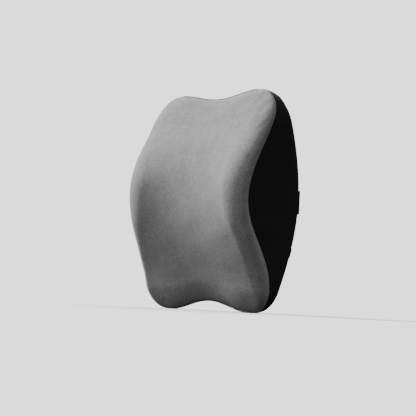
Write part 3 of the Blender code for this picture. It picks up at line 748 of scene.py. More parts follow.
def webbing(strap):
    """Woven elastic: weft ribs across its length, warp threads along it and a smooth selvedge."""
    finish = Finish("woven_elastic")
    u, v = finish.cloth_map()
    rib = (u * (2 * math.pi / WEBBING_RIB)).math("SINE") * 0.5 + 0.5
    warp = (v * (2 * math.pi / WEBBING_WARP)).math("SINE") * 0.5 + 0.5
    edge = finish.ramp(v.math("ABSOLUTE"), (0.44 * strap.width, 1.0), (0.46 * strap.width, 0.0))
    height = (rib * 0.6 + warp * 0.4) * edge + (1.0 - edge) * 0.5
    finish.tint(height, strap.webbing_colour, 0.6, 1.5)
    finish.set(Roughness=0.8, Sheen_Weight=0.05, Sheen_Roughness=0.4, Specular_IOR_Level=0.3)
    finish.set(Normal=finish.bump(height, 0.0003, 0.7))
    return finish.material


def tape_weave(strap):
    """The zip tape's fine herringbone."""
    finish = Finish("zip_tape_weave")
    u, v = finish.cloth_map()
    zigzag = ((v * (1 / TAPE_ZIGZAG)).math("FRACT") - 0.5).math("ABSOLUTE")
    twill = ((u * (1 / TAPE_TWILL) + zigzag * 3.0) * (2 * math.pi)).math("SINE") * 0.5 + 0.5
    finish.tint(twill, strap.webbing_colour, 0.6, 1.6)
    finish.set(Roughness=0.8, Specular_IOR_Level=0.3)
    finish.set(Normal=finish.bump(twill, 0.00015, 0.6))
    return finish.material


def moulded(name, base, roughness):
    """Moulded plastic with a fine spark texture and slightly burnished high spots."""
    finish = Finish(name)
    spark = finish.noise(2600.0, 2.0, 0.5)
    cloud = finish.noise(140.0, 2.0, 0.5)
    finish.tint(cloud, base, 0.8, 1.4)
    finish.set(Roughness=cloud * 0.16 + (roughness - 0.08))
    finish.set(Normal=finish.bump(spark, 0.00006, 0.5))
    return finish.material


def enamel(zipper):
    """Black enamel over cast zinc, thinner and paler where the pull rubs."""
    finish = Finish("enamelled_zinc")
    rub = finish.noise(300.0, 3.0, 0.6)
    worn = finish.ramp(rub, (0.52, 0.0), (0.72, 1.0))
    finish.tint(worn, zipper.enamel_colour, 1.0, 3.0)
    finish.set(Roughness=worn * 0.15 + 0.28, Metallic=0.5, Coat_Weight=0.3, Coat_Roughness=0.2)
    finish.set(Normal=finish.bump(finish.noise(900.0), 0.00004, 0.4))
    return finish.material


def thread_fibre(base):
    """Twisted sewing thread."""
    finish = Finish("sewing_thread")
    twist = finish.noise(2400.0, 1.0, 0.5)
    finish.tint(twist, base, 0.8, 2.2)
    finish.set(Roughness=0.6, Specular_IOR_Level=0.4)
    finish.set(Normal=finish.bump(twist, 0.0001, 0.5))
    return finish.material


def foam_skin(cloth):
    """Moulded slow-recovery foam: a smooth skin broken by open cells."""
    finish = Finish("foam_skin")
    cells = finish.start.node("ShaderNodeTexVoronoi", Vector=finish.start, Scale=900.0)
    cloud = finish.noise(40.0, 3.0, 0.5)
    finish.tint(cloud, cloth.foam_colour, 0.88, 1.08)
    finish.set(Roughness=0.95, Specular_IOR_Level=0.2)
    finish.set(Normal=finish.bump(cells, 0.0005, 0.6))
    return finish.material


def dress(piece, material, replaced=(), body="pillow"):
    """Give a finished piece its material, its body and the nodes it stands for."""
    piece.data.materials.clear()
    piece.data.materials.append(material)
    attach(piece, body)
    if replaced:
        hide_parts(*replaced)


def stitches(name, run, thread):
    """Small rounded stitches, each given by its two ends and its outward direction."""
    bm = bmesh.new()
    for start, end, out in run:
        along = end - start
        size = Matrix.Diagonal((along.length / 2, thread / 2, thread / 2, 1.0))
        axes = Matrix((along.normalized(), out.cross(along).normalized(), out)).transposed().to_4x4()
        place_at = Matrix.Translation((start + end) / 2) @ axes @ size
        bmesh.ops.create_uvsphere(bm, u_segments=8, v_segments=6, radius=1.0, matrix=place_at)
    return new_piece(name, bm)


def stitch_run(line, outs, pitch):
    """Stitches of the given pitch along a polyline with its outward directions."""
    line = np.asarray(line)
    along = lengths_along(line)
    run = []
    for i in range(int(along[-1] / pitch)):
        places = [pitch * (i + 0.5 + part * STITCH_SHARE / 2) for part in (-1, 1)]
        start, end = (Vector([np.interp(s, along, line[:, k]) for k in range(3)]) for s in places)
        out = Vector([np.interp((i + 0.5) * pitch, along, np.asarray(outs)[:, k]) for k in range(3)])
        run.append((start, end, out.normalized()))
    return run


class PILLOW_OT_velour_front(bpy.types.Operator):
    """Sew the velour front: one panel from side seam to side seam and ridge to ridge"""
    bl_idname = "pillow.velour_front"
    bl_label = "Velour front"

    def execute(self, context):
        form = Form(context.scene.pillow_form)
        cloth = context.scene.pillow_cloth
        points = Skin(form, "front", 150).whole(170)
        to_side = from_edges(points, 1)
        to_seam = np.minimum(to_side, from_edges(points, 0))
        lift = swell(points, to_seam, cloth, DRIFT_FADE)
        lift += gathers(points, to_side, cloth, 2.0 * slow_drift(points * 2.5))
        piece = cloth_panel("velour_front", points + normals(points) * lift[..., None], cloth)
        dress(piece, velour(cloth), ["front_cover"])
        declare_sheet(points)
        return {"FINISHED"}


class PILLOW_OT_side_gussets(bpy.types.Operator):
    """Sew the two lens-shaped knit gussets"""
    bl_idname = "pillow.side_gussets"
    bl_label = "Side gussets"

    def execute(self, context):
        form = Form(context.scene.pillow_form)
        cloth = context.scene.pillow_cloth
        material = knit(cloth)
        points = Skin(form, "side", 40).whole(150)
        to_seam = from_edges(points, 1)
        lift = swell(points, to_seam, cloth, GUSSET_DRIFT_FADE) + gathers(points, to_seam, cloth)
        points = points + normals(points) * lift[..., None]
        for side in ("right", "left"):
            shape = points
            if side == "left":
                shape = points[:, ::-1] * MIRROR
            piece = cloth_panel(f"knit_gusset_{side}", shape, cloth)
            dress(piece, material, [f"{side}_side_panel"])
            declare_sheet(shape)
        return {"FINISHED"}


class PILLOW_OT_back_panels(bpy.types.Operator):
    """Sew the knit back above and below the zip, with folded and topstitched edges along it"""
    bl_idname = "pillow.back_panels"
    bl_label = "Back panels"

    def execute(self, context):
        form = Form(context.scene.pillow_form)
        cloth = context.scene.pillow_cloth
        zipper = context.scene.pillow_zip
        skin = Skin(form, "back", 120)
        half = zipper.length / 2
        middle_x = skin.table[len(skin.angles) // 3, :, 0]
        gap = zipper.opening * (1 - smooth_step(np.abs(middle_x), half - HEM_ENDS[0], half + HEM_ENDS[1]))
        runs = []
        for name, side in (("upper", 1.0), ("lower", -1.0)):
            edge = np.arcsin((zipper.height + side * gap) / form.half_height)
            rows = 110 if side > 0 else 56
            seam = side * math.pi / 2
            angles = edge[None, :] + row_shares(rows) * (seam - edge[None, :])
            points = skin.at(angles)
            if side < 0:
                points = points[::-1]
            to_zip = from_edges(points, 0, side > 0, side < 0)
            to_seam = np.minimum(from_edges(points, 1), from_edges(points, 0, side < 0, side > 0))
            lift = swell(points, to_seam, cloth, DRIFT_FADE)
            lift += HEM_RISE * (1 - smooth_step(to_zip, HEM_WIDTH, HEM_WIDTH + HEM_EASE))
            lift -= roll(to_zip, HEM_RISE * 0.8)
            lift -= STITCH_SINK * np.exp(-((to_zip - HEM_STITCH) / STITCH_SINK_WIDTH) ** 2)
            out = normals(points)
            shape = points + out * lift[..., None]
            piece = cloth_panel(f"knit_back_{name}", shape, cloth)
            dress(piece, bpy.data.materials["jersey_knit"], [f"back_panel_{name}"])
            declare_sheet(points)
            keep = np.abs(middle_x) < half + HEM_STITCH_PAST
            line, outs = contour(shape, out, to_zip, HEM_STITCH, keep)
            runs += stitch_run(line + outs * STITCH_PROUD, outs, cloth.stitch)
        row = stitches("zip_topstitching", runs, cloth.thread)
        dress(row, thread_fibre(cloth.knit_colour))
        return {"FINISHED"}


def row_shares(rows):
    """Row places from the zip's edge, 0, to the ridge seam, 1, close together at both."""
    near = np.array([0.0, 0.0015, 0.0035, 0.006, 0.009, 0.012, 0.0155, 0.019, 0.0225, 0.026, 0.030])
    ridge = 1.0 - np.array([0.030, 0.022, 0.015, 0.010, 0.006, 0.003, 0.001, 0.0])
    return np.concatenate([near, np.linspace(0.030, 0.970, rows)[1:-1], ridge])[:, None]


def contour(points, outs, distance, wanted, keep):
    """The line over a panel at one distance from an edge, for the columns that are kept."""
    line, directions = [], []
    for column in np.nonzero(keep)[0]:
        d = distance[:, column]
        order = np.argsort(d)
        line.append([np.interp(wanted, d[order], points[order, column, k]) for k in range(3)])
        directions.append([np.interp(wanted, d[order], outs[order, column, k]) for k in range(3)])
    return np.array(line), np.array(directions)


class PILLOW_OT_seam_shade_cord(bpy.types.Operator):
    """Lay a thin black cord in the groove of every seam between two panels: it closes the gaps between them
    and paints the grooves' shade as a dark line, and it shows as a dark line over the top and bottom ridges
    """
    bl_idname = "pillow.seam_binding"
    bl_label = "Seam binding"

    def execute(self, context):
        form = Form(context.scene.pillow_form)
        cloth = context.scene.pillow_cloth
        front = Skin(form, "front", 60).table
        side = Skin(form, "side", 20).table
        ridges = []
        # The ridge cords stand a little proud as a dark line along the top and bottom edges, and sink into
        # the grooves near the side seams.
        for row, up in ((6, -1.0), (-7, 1.0)):
            ridge = front[row].copy()
            dive = 1 - smooth_step(from_edges(ridge, 0), 0.0, SWELL_ROOM)
            ridge[:, 2] += up * (RIDGE_PROUD - 2 * cloth.binding_depth * dive)
            ridges.append(ridge)
        # The side cords lie deep in the seam grooves: a dark cord as painted shade of the grooves, which also
        # closes the gaps between panels.
        front = front - normals(front) * cloth.binding_depth
        side = side - normals(side) * cloth.binding_depth
        sides = [front[:, 0], front[:, -1], side[:, -1], side[:, -1] * MIRROR]
        lines = [line[6:-6:4] for line in sides] + ridges
        piece = cords("seam_binding", lines, cloth.binding)
        dress(piece, bpy.data.materials["sewing_thread"])
        return {"FINISHED"}


def cords(name, lines, thickness):
    """Round cords along lines of points, as one mesh."""
    curve = bpy.data.curves.new(name, "CURVE")
    curve.dimensions = "3D"
    curve.bevel_depth = thickness / 2
    curve.bevel_resolution = 2
    curve.use_fill_caps = True
    for line in lines:
        spline = curve.splines.new("POLY")
        spline.points.add(len(line) - 1)
        for point, place_at in zip(spline.points, line):
            point.co = (*place_at, 1.0)
    drawn = bpy.data.objects.new(name + "_path", curve)
    mesh = bpy.data.meshes.new_from_object(drawn)
    bpy.data.objects.remove(drawn)
    bpy.data.curves.remove(curve)
    mesh.name = name
    return linked(name, mesh)


class PILLOW_OT_foam_block(bpy.types.Operator):
    """Make the moulded foam that fills the cover"""
    bl_idname = "pillow.foam_block"
    bl_label = "Foam block"

    def execute(self, context):
        form = Form(context.scene.pillow_form)
        cloth = context.scene.pillow_cloth
        front = Skin(form, "front", 70).table
        right = Skin(form, "side", 14).table
        back = Skin(form, "back", 50).table
        left = right[:, ::-1] * MIRROR
        ring = np.concatenate([front, right[:, 1:], back[:, 1:], left[:, 1:]], axis=1)
        ring = ring[8:-8:6]
        bm, cells = grid(*ring.shape[:2])
        for vert, cell in cells.items():
            vert.co = ring[cell]
        bmesh.ops.remove_doubles(bm, verts=bm.verts, dist=FOAM_WELD)
        bmesh.ops.holes_fill(bm, edges=[e for e in bm.edges if e.is_boundary], sides=0)
        bmesh.ops.triangulate(bm, faces=[f for f in bm.faces if len(f.verts) > 4])
        bmesh.ops.recalc_face_normals(bm, faces=bm.faces)
        bm.normal_update()
        for vert in bm.verts:
            vert.co -= vert.normal * FOAM_DEPTH
        piece = new_piece("foam_block", bm)
        dress(piece, foam_skin(cloth), ["foam_core"])
        return {"FINISHED"}


def rounded(path, radius):
    """A plan path with its corners turned into short curves."""
    path = [Vector(point) for point in path]
    out = [path[0]]
    for before, corner, after in zip(path, path[1:], path[2:]):
        back, ahead = before - corner, after - corner
        start = corner + back.normalized() * min(radius, back.length / 2)
        end = corner + ahead.normalized() * min(radius, ahead.length / 2)
        for t in (0.0, 0.25, 0.5, 0.75, 1.0):
            out.append(start.lerp(corner, t).lerp(corner.lerp(end, t), t))
    out.append(path[-1])
    return [point for i, point in enumerate(out) if i == 0 or (point - out[i - 1]).length > 1e-6]


def ribbon(name, path, width, thickness, edge, matrix=None):
    """A strip with its wall to both sides of a path in plan, its width along Z and a map in metres."""
    line = np.array([tuple(point) for point in path])
    shares = np.linspace(-width / 2, width / 2, 11)
    along, across = np.meshgrid(lengths_along(line), shares)
    bm, cells = grid(*along.shape)
    map_cloth(bm, cells, along, across)
    for vert, (row, column) in cells.items():
        vert.co = (*line[column], shares[row])
    bmesh.ops.recalc_face_normals(bm, faces=bm.faces)
    piece = new_piece(name, bm)
    wall = add_wall(piece, thickness, 0.0)
    wall.use_even_offset = True
    add_bevel(piece, edge)
    keep_modifiers(piece)
    if matrix is not None:
        piece.data.transform(matrix)
    return piece


def arc(middle, radius, start, end, steps=14):
    """Points of an arc in plan between two angles in degrees."""
    turns = np.radians(np.linspace(start, end, steps + 1))
    return [(middle[0] + radius * math.cos(t), middle[1] + radius * math.sin(t)) for t in turns]


class StrapRoute:
    """Where the stowed webbing runs in plan, from the seams to the buckle."""

    def __init__(self, form, strap):
        self.form = form
        self.s = strap
        self.level = -strap.thickness / 2
        self.lifted = self.level + strap.rise
        self.over = strap.rise + 2 * strap.gap + strap.buckle_thickness + strap.thickness / 2
        self.resting = self.lifted + strap.thickness + strap.gap
        self.step = STEP_SLOPE * (self.over - self.resting)
        reach = strap.middle_bar / 2 + strap.buckle_slot + strap.end_bar
        self.buckle_left = strap.buckle_x - reach
        self.buckle_right = strap.buckle_x + reach

    def from_seam(self, side):
        """Out of the rear side seam and round the corner to the flat of the back."""
        half_width, _, _, back, _ = self.form.section(0.0)
        corner = self.form.s.rear_radius
        middle = (half_width - corner, back - corner)
        inside = arc(middle, corner - SEAM_TUCK, 45, 45, 1)[:1]
        outside = arc(middle, corner + self.s.gap + self.s.thickness / 2, 45, 90)
        return [(side * x, y) for x, y in inside + outside]

    def strap(self):
        """Across the back, round the buckle's middle bar and back as a tail with a folded hem."""
        s = self.s
        turn = (self.over - self.lifted) / 2
        turn_x = s.buckle_x + s.middle_bar / 2 + s.gap + s.thickness / 2 - turn
        step_down = self.buckle_left - 2 * s.gap
        tail = self.buckle_left - s.tail
        fold = s.thickness * FOLD_SHARE
        path = self.from_seam(-1.0)
        path += [(tail - 2 * s.thickness, self.level), (tail - s.thickness, self.lifted)]
        path += arc((turn_x, self.lifted + turn), turn, -90, 90)
        path += [(step_down, self.over), (step_down - self.step, self.resting)]
        path += arc((tail + fold, self.resting + fold), fold, 270, 90, 8)
        return rounded(path + [(tail + s.hem, self.resting + 2 * fold)], WEBBING_BEND)

    def tab(self):
        """From the other seam, round the buckle's end bar and back on itself."""
        s = self.s
        turn = (self.over - self.level) / 2
        turn_x = self.buckle_right - s.end_bar - s.gap - s.thickness / 2 + turn
        step_down = self.buckle_right + 2 * s.gap
        path = self.from_seam(1.0)
        path += arc((turn_x, self.level + turn), turn, -90, -270)
        path += [(step_down, self.over), (step_down + self.step, self.resting)]
        return rounded(path + [(step_down + s.tab_return, self.resting)], WEBBING_BEND)

    def sewing(self):
        """The box of stitches that holds the tab to itself, and the two rows across the tail's hem."""
        s = self.s
        high = s.width / 2 - SEWN_INSET
        face = self.resting + s.thickness / 2
        near = self.buckle_right + 2 * s.gap + self.step + SEWN_END
        far = self.buckle_right + s.tab_return - SEWN_END
        tail = self.buckle_left - s.tail
        hem_face = face + s.thickness * 2 * FOLD_SHARE
        lines = [((near, -high), (near, high)), ((far, -high), (far, high)), ((near, high), (far, high)),
                 ((near, -high), (far, -high)), ((near, -high), (far, high)), ((near, high), (far, -high))]
        lines = [(a, b, face) for a, b in lines]
        for inset in HEM_ROWS:
            x = tail + s.hem - inset
            lines.append(((x, -high - HEM_ROW_PAST), (x, high + HEM_ROW_PAST), hem_face))
        return lines


class PILLOW_OT_headrest_strap(bpy.types.Operator):
    """Weave the elastic strap and its tab, sew them, and finish the buckle"""
    bl_idname = "pillow.headrest_strap"
    bl_label = "Headrest strap"

    def execute(self, context):
        strap = context.scene.pillow_strap
        cloth = context.scene.pillow_cloth
        route = StrapRoute(Form(context.scene.pillow_form), strap)
        material = webbing(strap)
        for name, path, node in (("webbing_strap", route.strap(), "elastic_strap"),
                                 ("webbing_tab", route.tab(), "strap_tab")):
            piece = ribbon(name, path, strap.width, strap.thickness, WEBBING_EDGE)
            dress(piece, material, [node])
        runs = []
        for (x0, z0), (x1, z1), y in route.sewing():
            ends = [(x0, y, z0), (x1, y, z1)]
            runs += stitch_run(ends, [(0, 1, 0), (0, 1, 0)], cloth.stitch * SEWN_PITCH)
        dress(stitches("strap_stitching", runs, cloth.thread), bpy.data.materials["sewing_thread"])
        refinish(["strap_adjuster"], moulded("spark_acetal", strap.buckle_colour, 0.42))
        return {"FINISHED"}


def refinish(nodes, material):
    """Give CAD nodes that stay as they are a better material."""
    for node in nodes:
        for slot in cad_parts[node].material_slots:
            slot.material = material


def zip_axes(form, zipper):
    """The zip's own frame: X along it, Y up the back and Z out of the cover."""
    step = 0.002
    back = [form.section((zipper.height + d) / form.half_height)[3] for d in (-step, 0.0, step)]
    up = Vector((0.0, back[2] - back[0], 2 * step)).normalized()
    along = Vector((-1.0, 0.0, 0.0))
    axes = Matrix((along, up, along.cross(up))).transposed().to_4x4()
    return Matrix.Translation((0.0, back[1], zipper.height)) @ axes


def slider_rest(zipper):
    """Where the closed slider stands along the zip."""
    return (zipper.length - 2 * zipper.stop - zipper.slider_length) / 2 - 2 * zipper.play


class PILLOW_OT_zip_rows(bpy.types.Operator):
    """Weave the two zip tapes and set their rows of moulded teeth"""
    bl_idname = "pillow.zip_rows"
    bl_label = "Zip rows"

    def execute(self, context):
        zipper = context.scene.pillow_zip
        strap = context.scene.pillow_strap
        axes = zip_axes(Form(context.scene.pillow_form), zipper)
        weave = tape_weave(strap)
        plastic = moulded("tooth_acetal", strap.buckle_colour, 0.38)
        middle = zipper.channel / 2 + zipper.tape_width / 2
        for name, side in (("upper", 1.0), ("lower", -1.0)):
            lay = Matrix.Translation((0.0, side * middle, -zipper.play - zipper.tape / 2))
            reach = zipper.length / 2 + zipper.stop
            ends = [(x, 0.0) for x in np.linspace(-reach, reach, 40)]
            tape = ribbon(f"woven_tape_{name}", ends, zipper.tape_width, zipper.tape, TAPE_EDGE,
                          axes @ lay @ LYING)
            dress(tape, weave, [f"zip_tape_{name}"])
            row = tooth_row(f"tooth_row_{name}", zipper, side, axes)
            dress(row, plastic, [f"zip_chain_{name}"])
        refinish(["zip_stop_closed", "zip_stop_open"], plastic)
        return {"FINISHED"}


def tooth_row(name, zipper, side, axes):
    """One row: waisted teeth with rounded heads, every second place, on a round cord."""
    span = zipper.length - 2 * zipper.stop - 4 * zipper.play
    count = int(span / zipper.pitch)
    first = -count * zipper.pitch / 2 + zipper.pitch * (0.25 if side > 0 else 0.75)
    root = zipper.channel / 2 + zipper.tooth_reach
    bm = bmesh.new()
    for i in range(count):
        y = side * (zipper.channel + zipper.tooth_reach) / 2
        size = (TOOTH_WIDTH, zipper.tooth_reach, zipper.tooth)
        block(bm, size, (first + i * zipper.pitch, y, zipper.tooth / 2))
    lengthwise = [e for e in bm.edges if abs(e.verts[0].co.y - e.verts[1].co.y) > 0.5 * zipper.tooth_reach]
    bmesh.ops.subdivide_edges(bm, edges=lengthwise, cuts=5, use_grid_fill=True)
    for vert in bm.verts:
        x = first + round((vert.co.x - first) / zipper.pitch) * zipper.pitch
        t = (abs(vert.co.y) - zipper.channel / 2) / zipper.tooth_reach
        vert.co.x = x + (vert.co.x - x) * float(np.interp(t, TOOTH_PLACES, TOOTH_WIDTHS))
        drop = float(np.interp(t, (0.0, 0.17, 1.0), (0.22, 0.0, 0.0)))
        vert.co.z += (zipper.tooth / 2 - vert.co.z) * drop
    corners = [e for e in bm.edges if e.calc_face_angle(0.0) > math.radians(50)]
    soften(bm, corners, TOOTH_EDGE)
    middle = (0.0, side * (root + zipper.cord * TOOTH_CORD_INSET), zipper.cord / 2 + TOOTH_CORD_LIFT)
    lie = Matrix.Translation(middle) @ Matrix.Rotation(math.pi / 2, 4, "Y")
    thick = zipper.cord / 2
    bmesh.ops.create_cone(bm, cap_ends=True, segments=14, radius1=thick, radius2=thick,
                          depth=count * zipper.pitch, matrix=lie)
    bmesh.ops.transform(bm, matrix=axes, verts=bm.verts)
    piece = new_piece(name, bm)
    piece.data.set_sharp_from_angle(angle=math.radians(50))
    return piece


class PILLOW_OT_zip_slider(bpy.types.Operator):
    """Cast the zip's slider: two plates, a thin neck and the arch that holds the pull"""
    bl_idname = "pillow.zip_slider"
    bl_label = "Zip slider"

    def execute(self, context):
        zipper = context.scene.pillow_zip
        axes = zip_axes(Form(context.scene.pillow_form), zipper)
        at = axes @ Matrix.Translation((slider_rest(zipper), 0.0, 0.0))
        gap = zipper.play
        low = -gap - zipper.tape - gap - zipper.plate
        high = zipper.tooth + gap
        bm = bmesh.new()
        slider_plate(bm, zipper, low)
        slider_plate(bm, zipper, high)
        half = zipper.slider_width / 2
        inner = high + RAIL_BITE - gap * 0.5
        for side in (-1.0, 1.0):
            middle = (RAIL_PLACE, side * (half - RAIL_WIDTH / 2), gap * 0.5 + inner / 2)
            block(bm, (RAIL_LENGTH, RAIL_WIDTH, inner), middle)
        neck = (NECK_LENGTH, NECK_WIDTH, high - low)
        block(bm, neck, (NECK_PLACE, 0.0, (high + low + zipper.plate) / 2))
        corners = [e for e in bm.edges if e.calc_face_angle(0.0) > math.radians(40)]
        soften(bm, corners, SLIDER_EDGE)
        bmesh.ops.transform(bm, matrix=at, verts=bm.verts)
        body = new_piece("cast_slider", bm)
        body.data.set_sharp_from_angle(angle=math.radians(60))
        material = enamel(zipper)
        dress(body, material, ["zip_slider"], "slider")
        top = high + zipper.plate
        reach = (zipper.bridge_length - zipper.bridge_bar) / 2
        crown = top + zipper.bridge_height - zipper.bridge_bar / 2
        foot = top - zipper.plate * 0.5
        path = [(-reach, foot), (-reach * ARCH_TOP, crown), (reach * ARCH_TOP, crown), (reach, foot)]
        arch = ribbon("slider_arch", rounded(path, ARCH_BEND), zipper.bridge_width, zipper.bridge_bar,
                      ARCH_EDGE, at @ LYING)
        dress(arch, material, (), "slider")
        return {"FINISHED"}


def block(bm, size, middle):
    """Add a square block, such as a tooth or a rail."""
    at = Matrix.Translation(middle) @ Matrix.Diagonal((*size, 1.0))
    bmesh.ops.create_cube(bm, size=1.0, matrix=at)


def soften(bm, edges, width):
    """Round off edges a little."""
    bmesh.ops.bevel(bm, geom=edges, offset=width, segments=2, affect="EDGES", profile=0.5, material=-1)


def slider_plate(bm, zipper, level):
    """One plate, seen from above as a shield: round shoulders ahead and a narrower tail."""
    made = bmesh.ops.create_circle(bm, cap_ends=True, segments=48, radius=1.0)
    for vert in made["verts"]:
        x, y = vert.co.x, vert.co.y
        fuller = (abs(x) ** PLATE_FULLNESS + abs(y) ** PLATE_FULLNESS) ** (-1 / PLATE_FULLNESS)
        x, y = x * fuller, y * fuller
        narrow = 1.0 - PLATE_NARROWING * float(smooth_step(-x, 0.1, 1.0))
        vert.co = (x * zipper.slider_length / 2, y * narrow * zipper.slider_width / 2, level)
    face = made["verts"][0].link_faces[0]
    grown = bmesh.ops.extrude_face_region(bm, geom=[face])
    raised = [item for item in grown["geom"] if isinstance(item, bmesh.types.BMVert)]
    bmesh.ops.translate(bm, vec=(0.0, 0.0, zipper.plate), verts=raised)
    bmesh.ops.recalc_face_normals(bm, faces=bm.faces)


class PILLOW_OT_zip_pull(bpy.types.Operator):
    """Cast the pull tab, with its eye round the slider's arch and a ribbed, sunk grip"""
    bl_idname = "pillow.zip_pull"
    bl_label = "Zip pull"

    def execute(self, context):
        zipper = context.scene.pillow_zip
        axes = zip_axes(Form(context.scene.pillow_form), zipper)
        bar = zipper.pull_thickness
        high = zipper.tooth + zipper.play + zipper.plate
        axis = high + zipper.bridge_height - zipper.bridge_bar - zipper.play - bar / 2
        at = axes @ Matrix.Translation((slider_rest(zipper), 0.0, axis))
        piece = pull_tab(zipper, bar)
        piece.data.transform(at)
        dress(piece, bpy.data.materials["enamelled_zinc"], ["zip_pull"], "pull")
        return {"FINISHED"}


def pull_tab(zipper, bar):
    """The tab about its hinge: a grid with the eye's cells left out, given its thickness."""
    eye_end = -bar / 2 - (zipper.bridge_length + zipper.pull_eye) / 2
    end = bar / 2 - zipper.pull_length
    stations = sorted({bar / 2, -bar / 2, eye_end, *np.linspace(eye_end, end, 44), end})
    grip = (end + GRIP_ENDS[0], eye_end - GRIP_ENDS[1])
    shares = (-1.0, -0.64, -0.57, -0.3, 0.0, 0.3, 0.57, 0.64, 1.0)
    bm, places = grid(len(shares), len(stations))
    eye_share = zipper.pull_eye / zipper.pull_width
    inner = len(shares) - 3
    gone = []
    for face in bm.faces:
        x = sum(stations[places[vert][1]] for vert in face.verts) / 4
        row = sum(places[vert][0] for vert in face.verts) / 4
        if eye_end < x < -bar / 2 and 2 < row < inner:
            gone.append(face)
    for vert, (row, column) in places.items():
        x, share = stations[column], shares[row]
        if x > eye_end - 1e-6 and abs(share) < 0.6:
            share *= eye_share / 0.57
        vert.co = (x, share * pull_half_width(x, eye_end, end, zipper), 0.0)
    bmesh.ops.delete(bm, geom=gone, context="FACES")
    piece = new_piece("cast_pull", bm)
    add_wall(piece, bar, 0.0)
    keep_modifiers(piece)
    for vert in piece.data.vertices:
        x, y, z = vert.co
        if abs(y) < 0.60 * pull_half_width(x, eye_end, end, zipper) and grip[0] < x < grip[1]:
            rib = 0.5 + 0.5 * math.cos(2 * math.pi * (x - grip[0]) / GRIP_RIB)
            vert.co.z = z - math.copysign(GRIP_DEPTH - GRIP_RIB_HEIGHT * rib, z)
    add_bevel(piece, PULL_EDGE)
    keep_modifiers(piece)
    return piece


def pull_half_width(x, eye_end, end, zipper):
    """The tab's outline: square at the eye, a slight waist, then a wider round end."""
    half = zipper.pull_width / 2
    waist = 1.0 - PULL_WAIST * math.exp(-((x - eye_end + PULL_WAIST_PLACE) / PULL_WAIST_WIDTH) ** 2)
    left = max((x - end) / half, 0.0)
    round_end = math.sqrt(max(1 - (1 - min(left, 1.0)) ** 2, 0.0)) if left < 1.0 else 1.0
    return half * waist * max(round_end, PULL_TIP)


class PILLOW_OT_stage(bpy.types.Operator):
    """Lay the floor, light it and set the camera"""
    bl_idname = "pillow.stage"
    bl_label = "Stage"

    def execute(self, context):
        scene = context.scene
        stage = scene.pillow_stage
        make_floor(CAD_BOX[0].z - FLOOR_DROP, stage)
        make_world(scene, stage)
        for name in ("key", "front_fill", "back_fill"):
            azimuth, elevation, softness, strength = (
                getattr(stage, f"{name}_{part}") for part in ("azimuth", "elevation", "softness", "strength"))
            sun(name, azimuth, elevation, strength, softness)
        make_camera(scene, stage)
        return {"FINISHED"}


def make_floor(z, stage):
    """A pale floor that takes light and shadow but throws no light back up at the pillow."""
    bm = bmesh.new()
    bmesh.ops.create_grid(bm, x_segments=1, y_segments=1, size=FLOOR_HALF)
    bmesh.ops.translate(bm, vec=(0.0, 0.0, z), verts=bm.verts)
    floor = new_piece("floor", bm)
    finish = Finish("pale_floor")
    finish.set(Base_Color=(*stage.floor_colour, 1.0), Roughness=1.0, Specular_IOR_Level=0.0)
    floor.data.materials.append(finish.material)
    floor.visible_diffuse = False
    floor.visible_glossy = False


def make_world(scene, stage):
    """Soft light, stronger from above, in front of a plain pale backdrop."""
    world = bpy.data.worlds.new("studio")
    scene.world = world
    world.use_nodes = True
    tree = world.node_tree
    shade = Field(tree, tree.nodes.new("ShaderNodeTexCoord").outputs["Generated"])
    up = shade.node("ShaderNodeSeparateXYZ", output=2, Vector=shade).clamp()
    seen = shade.node("ShaderNodeLightPath", output="Is Camera Ray")
    glow = up * stage.sky_strength + stage.ambient_strength
    strength = glow + seen * (stage.backdrop_strength - glow)
    background = tree.nodes["Background"]
    background.inputs["Color"].default_value = (1.0, 1.0, 1.0, 1.0)
    place(tree, background.inputs["Strength"], strength)


def direction(azimuth, elevation):
    """Away from the pillow; the azimuth turns from its front towards its +X side."""
    level = math.cos(elevation)
    return Vector((math.sin(azimuth) * level, -math.cos(azimuth) * level, math.sin(elevation)))


def sun(name, azimuth, elevation, strength, softness):
    light = bpy.data.lights.new(name, "SUN")
    light.energy = strength
    light.angle = softness
    lamp = bpy.data.objects.new(name, light)
    lamp.rotation_euler = direction(azimuth, elevation).to_track_quat("Z", "Y").to_euler()
    bpy.context.scene.collection.objects.link(lamp)


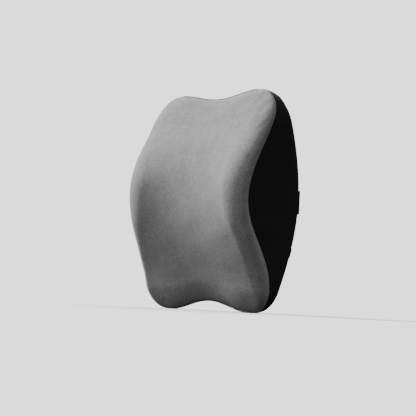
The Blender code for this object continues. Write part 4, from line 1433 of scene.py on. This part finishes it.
def make_camera(scene, stage):
    middle = Vector((0.0, Form(scene.pillow_form).edge_y + AIM_BEHIND, 0.0))
    away = direction(stage.azimuth, stage.elevation)
    right = Vector((math.cos(stage.azimuth), math.sin(stage.azimuth), 0.0))
    aim = middle + right * stage.aim_right + away.cross(right) * stage.aim_up
    data = bpy.data.cameras.new("camera")
    data.sensor_width = SENSOR_MM
    data.lens = SENSOR_MM * stage.scale * stage.distance / PHOTO_WIDTH
    camera = bpy.data.objects.new("camera", data)
    camera.location = middle + away * stage.distance
    turn = (aim - camera.location).to_track_quat("-Z", "Y").to_matrix()
    camera.rotation_euler = (turn @ Matrix.Rotation(stage.roll, 3, "Z")).to_euler()
    scene.collection.objects.link(camera)
    scene.camera = camera


class PILLOW_PT_panel(bpy.types.Panel):
    """Lists the pillow's pieces in the sidebar"""
    bl_idname = "PILLOW_PT_panel"
    bl_label = "Pillow"
    bl_space_type = "VIEW_3D"
    bl_region_type = "UI"
    bl_category = "Pillow"

    def draw(self, context):
        for operator in OPERATORS:
            self.layout.operator(operator.bl_idname)


OPERATORS = (
    PILLOW_OT_foam_block, PILLOW_OT_velour_front, PILLOW_OT_side_gussets, PILLOW_OT_back_panels,
    PILLOW_OT_seam_shade_cord, PILLOW_OT_headrest_strap, PILLOW_OT_zip_rows, PILLOW_OT_zip_slider,
    PILLOW_OT_zip_pull, PILLOW_OT_stage,
)
GROUPS = (
    (PillowForm, "pillow_form"), (PillowCloth, "pillow_cloth"), (PillowZip, "pillow_zip"),
    (PillowStrap, "pillow_strap"), (PillowStage, "pillow_stage"),
)


def register():
    for group, name in GROUPS:
        bpy.utils.register_class(group)
        setattr(bpy.types.Scene, name, PointerProperty(type=group))
    for cls in OPERATORS + (PILLOW_PT_panel,):
        bpy.utils.register_class(cls)


def unregister():
    for cls in (PILLOW_PT_panel,) + OPERATORS[::-1]:
        bpy.utils.unregister_class(cls)
    for group, name in reversed(GROUPS):
        delattr(bpy.types.Scene, name)
        bpy.utils.unregister_class(group)


def main():
    register()
    for operator in OPERATORS:
        piece, action = operator.bl_idname.split(".")
        getattr(getattr(bpy.ops, piece), action)()


if __name__ == "__main__":
    main()
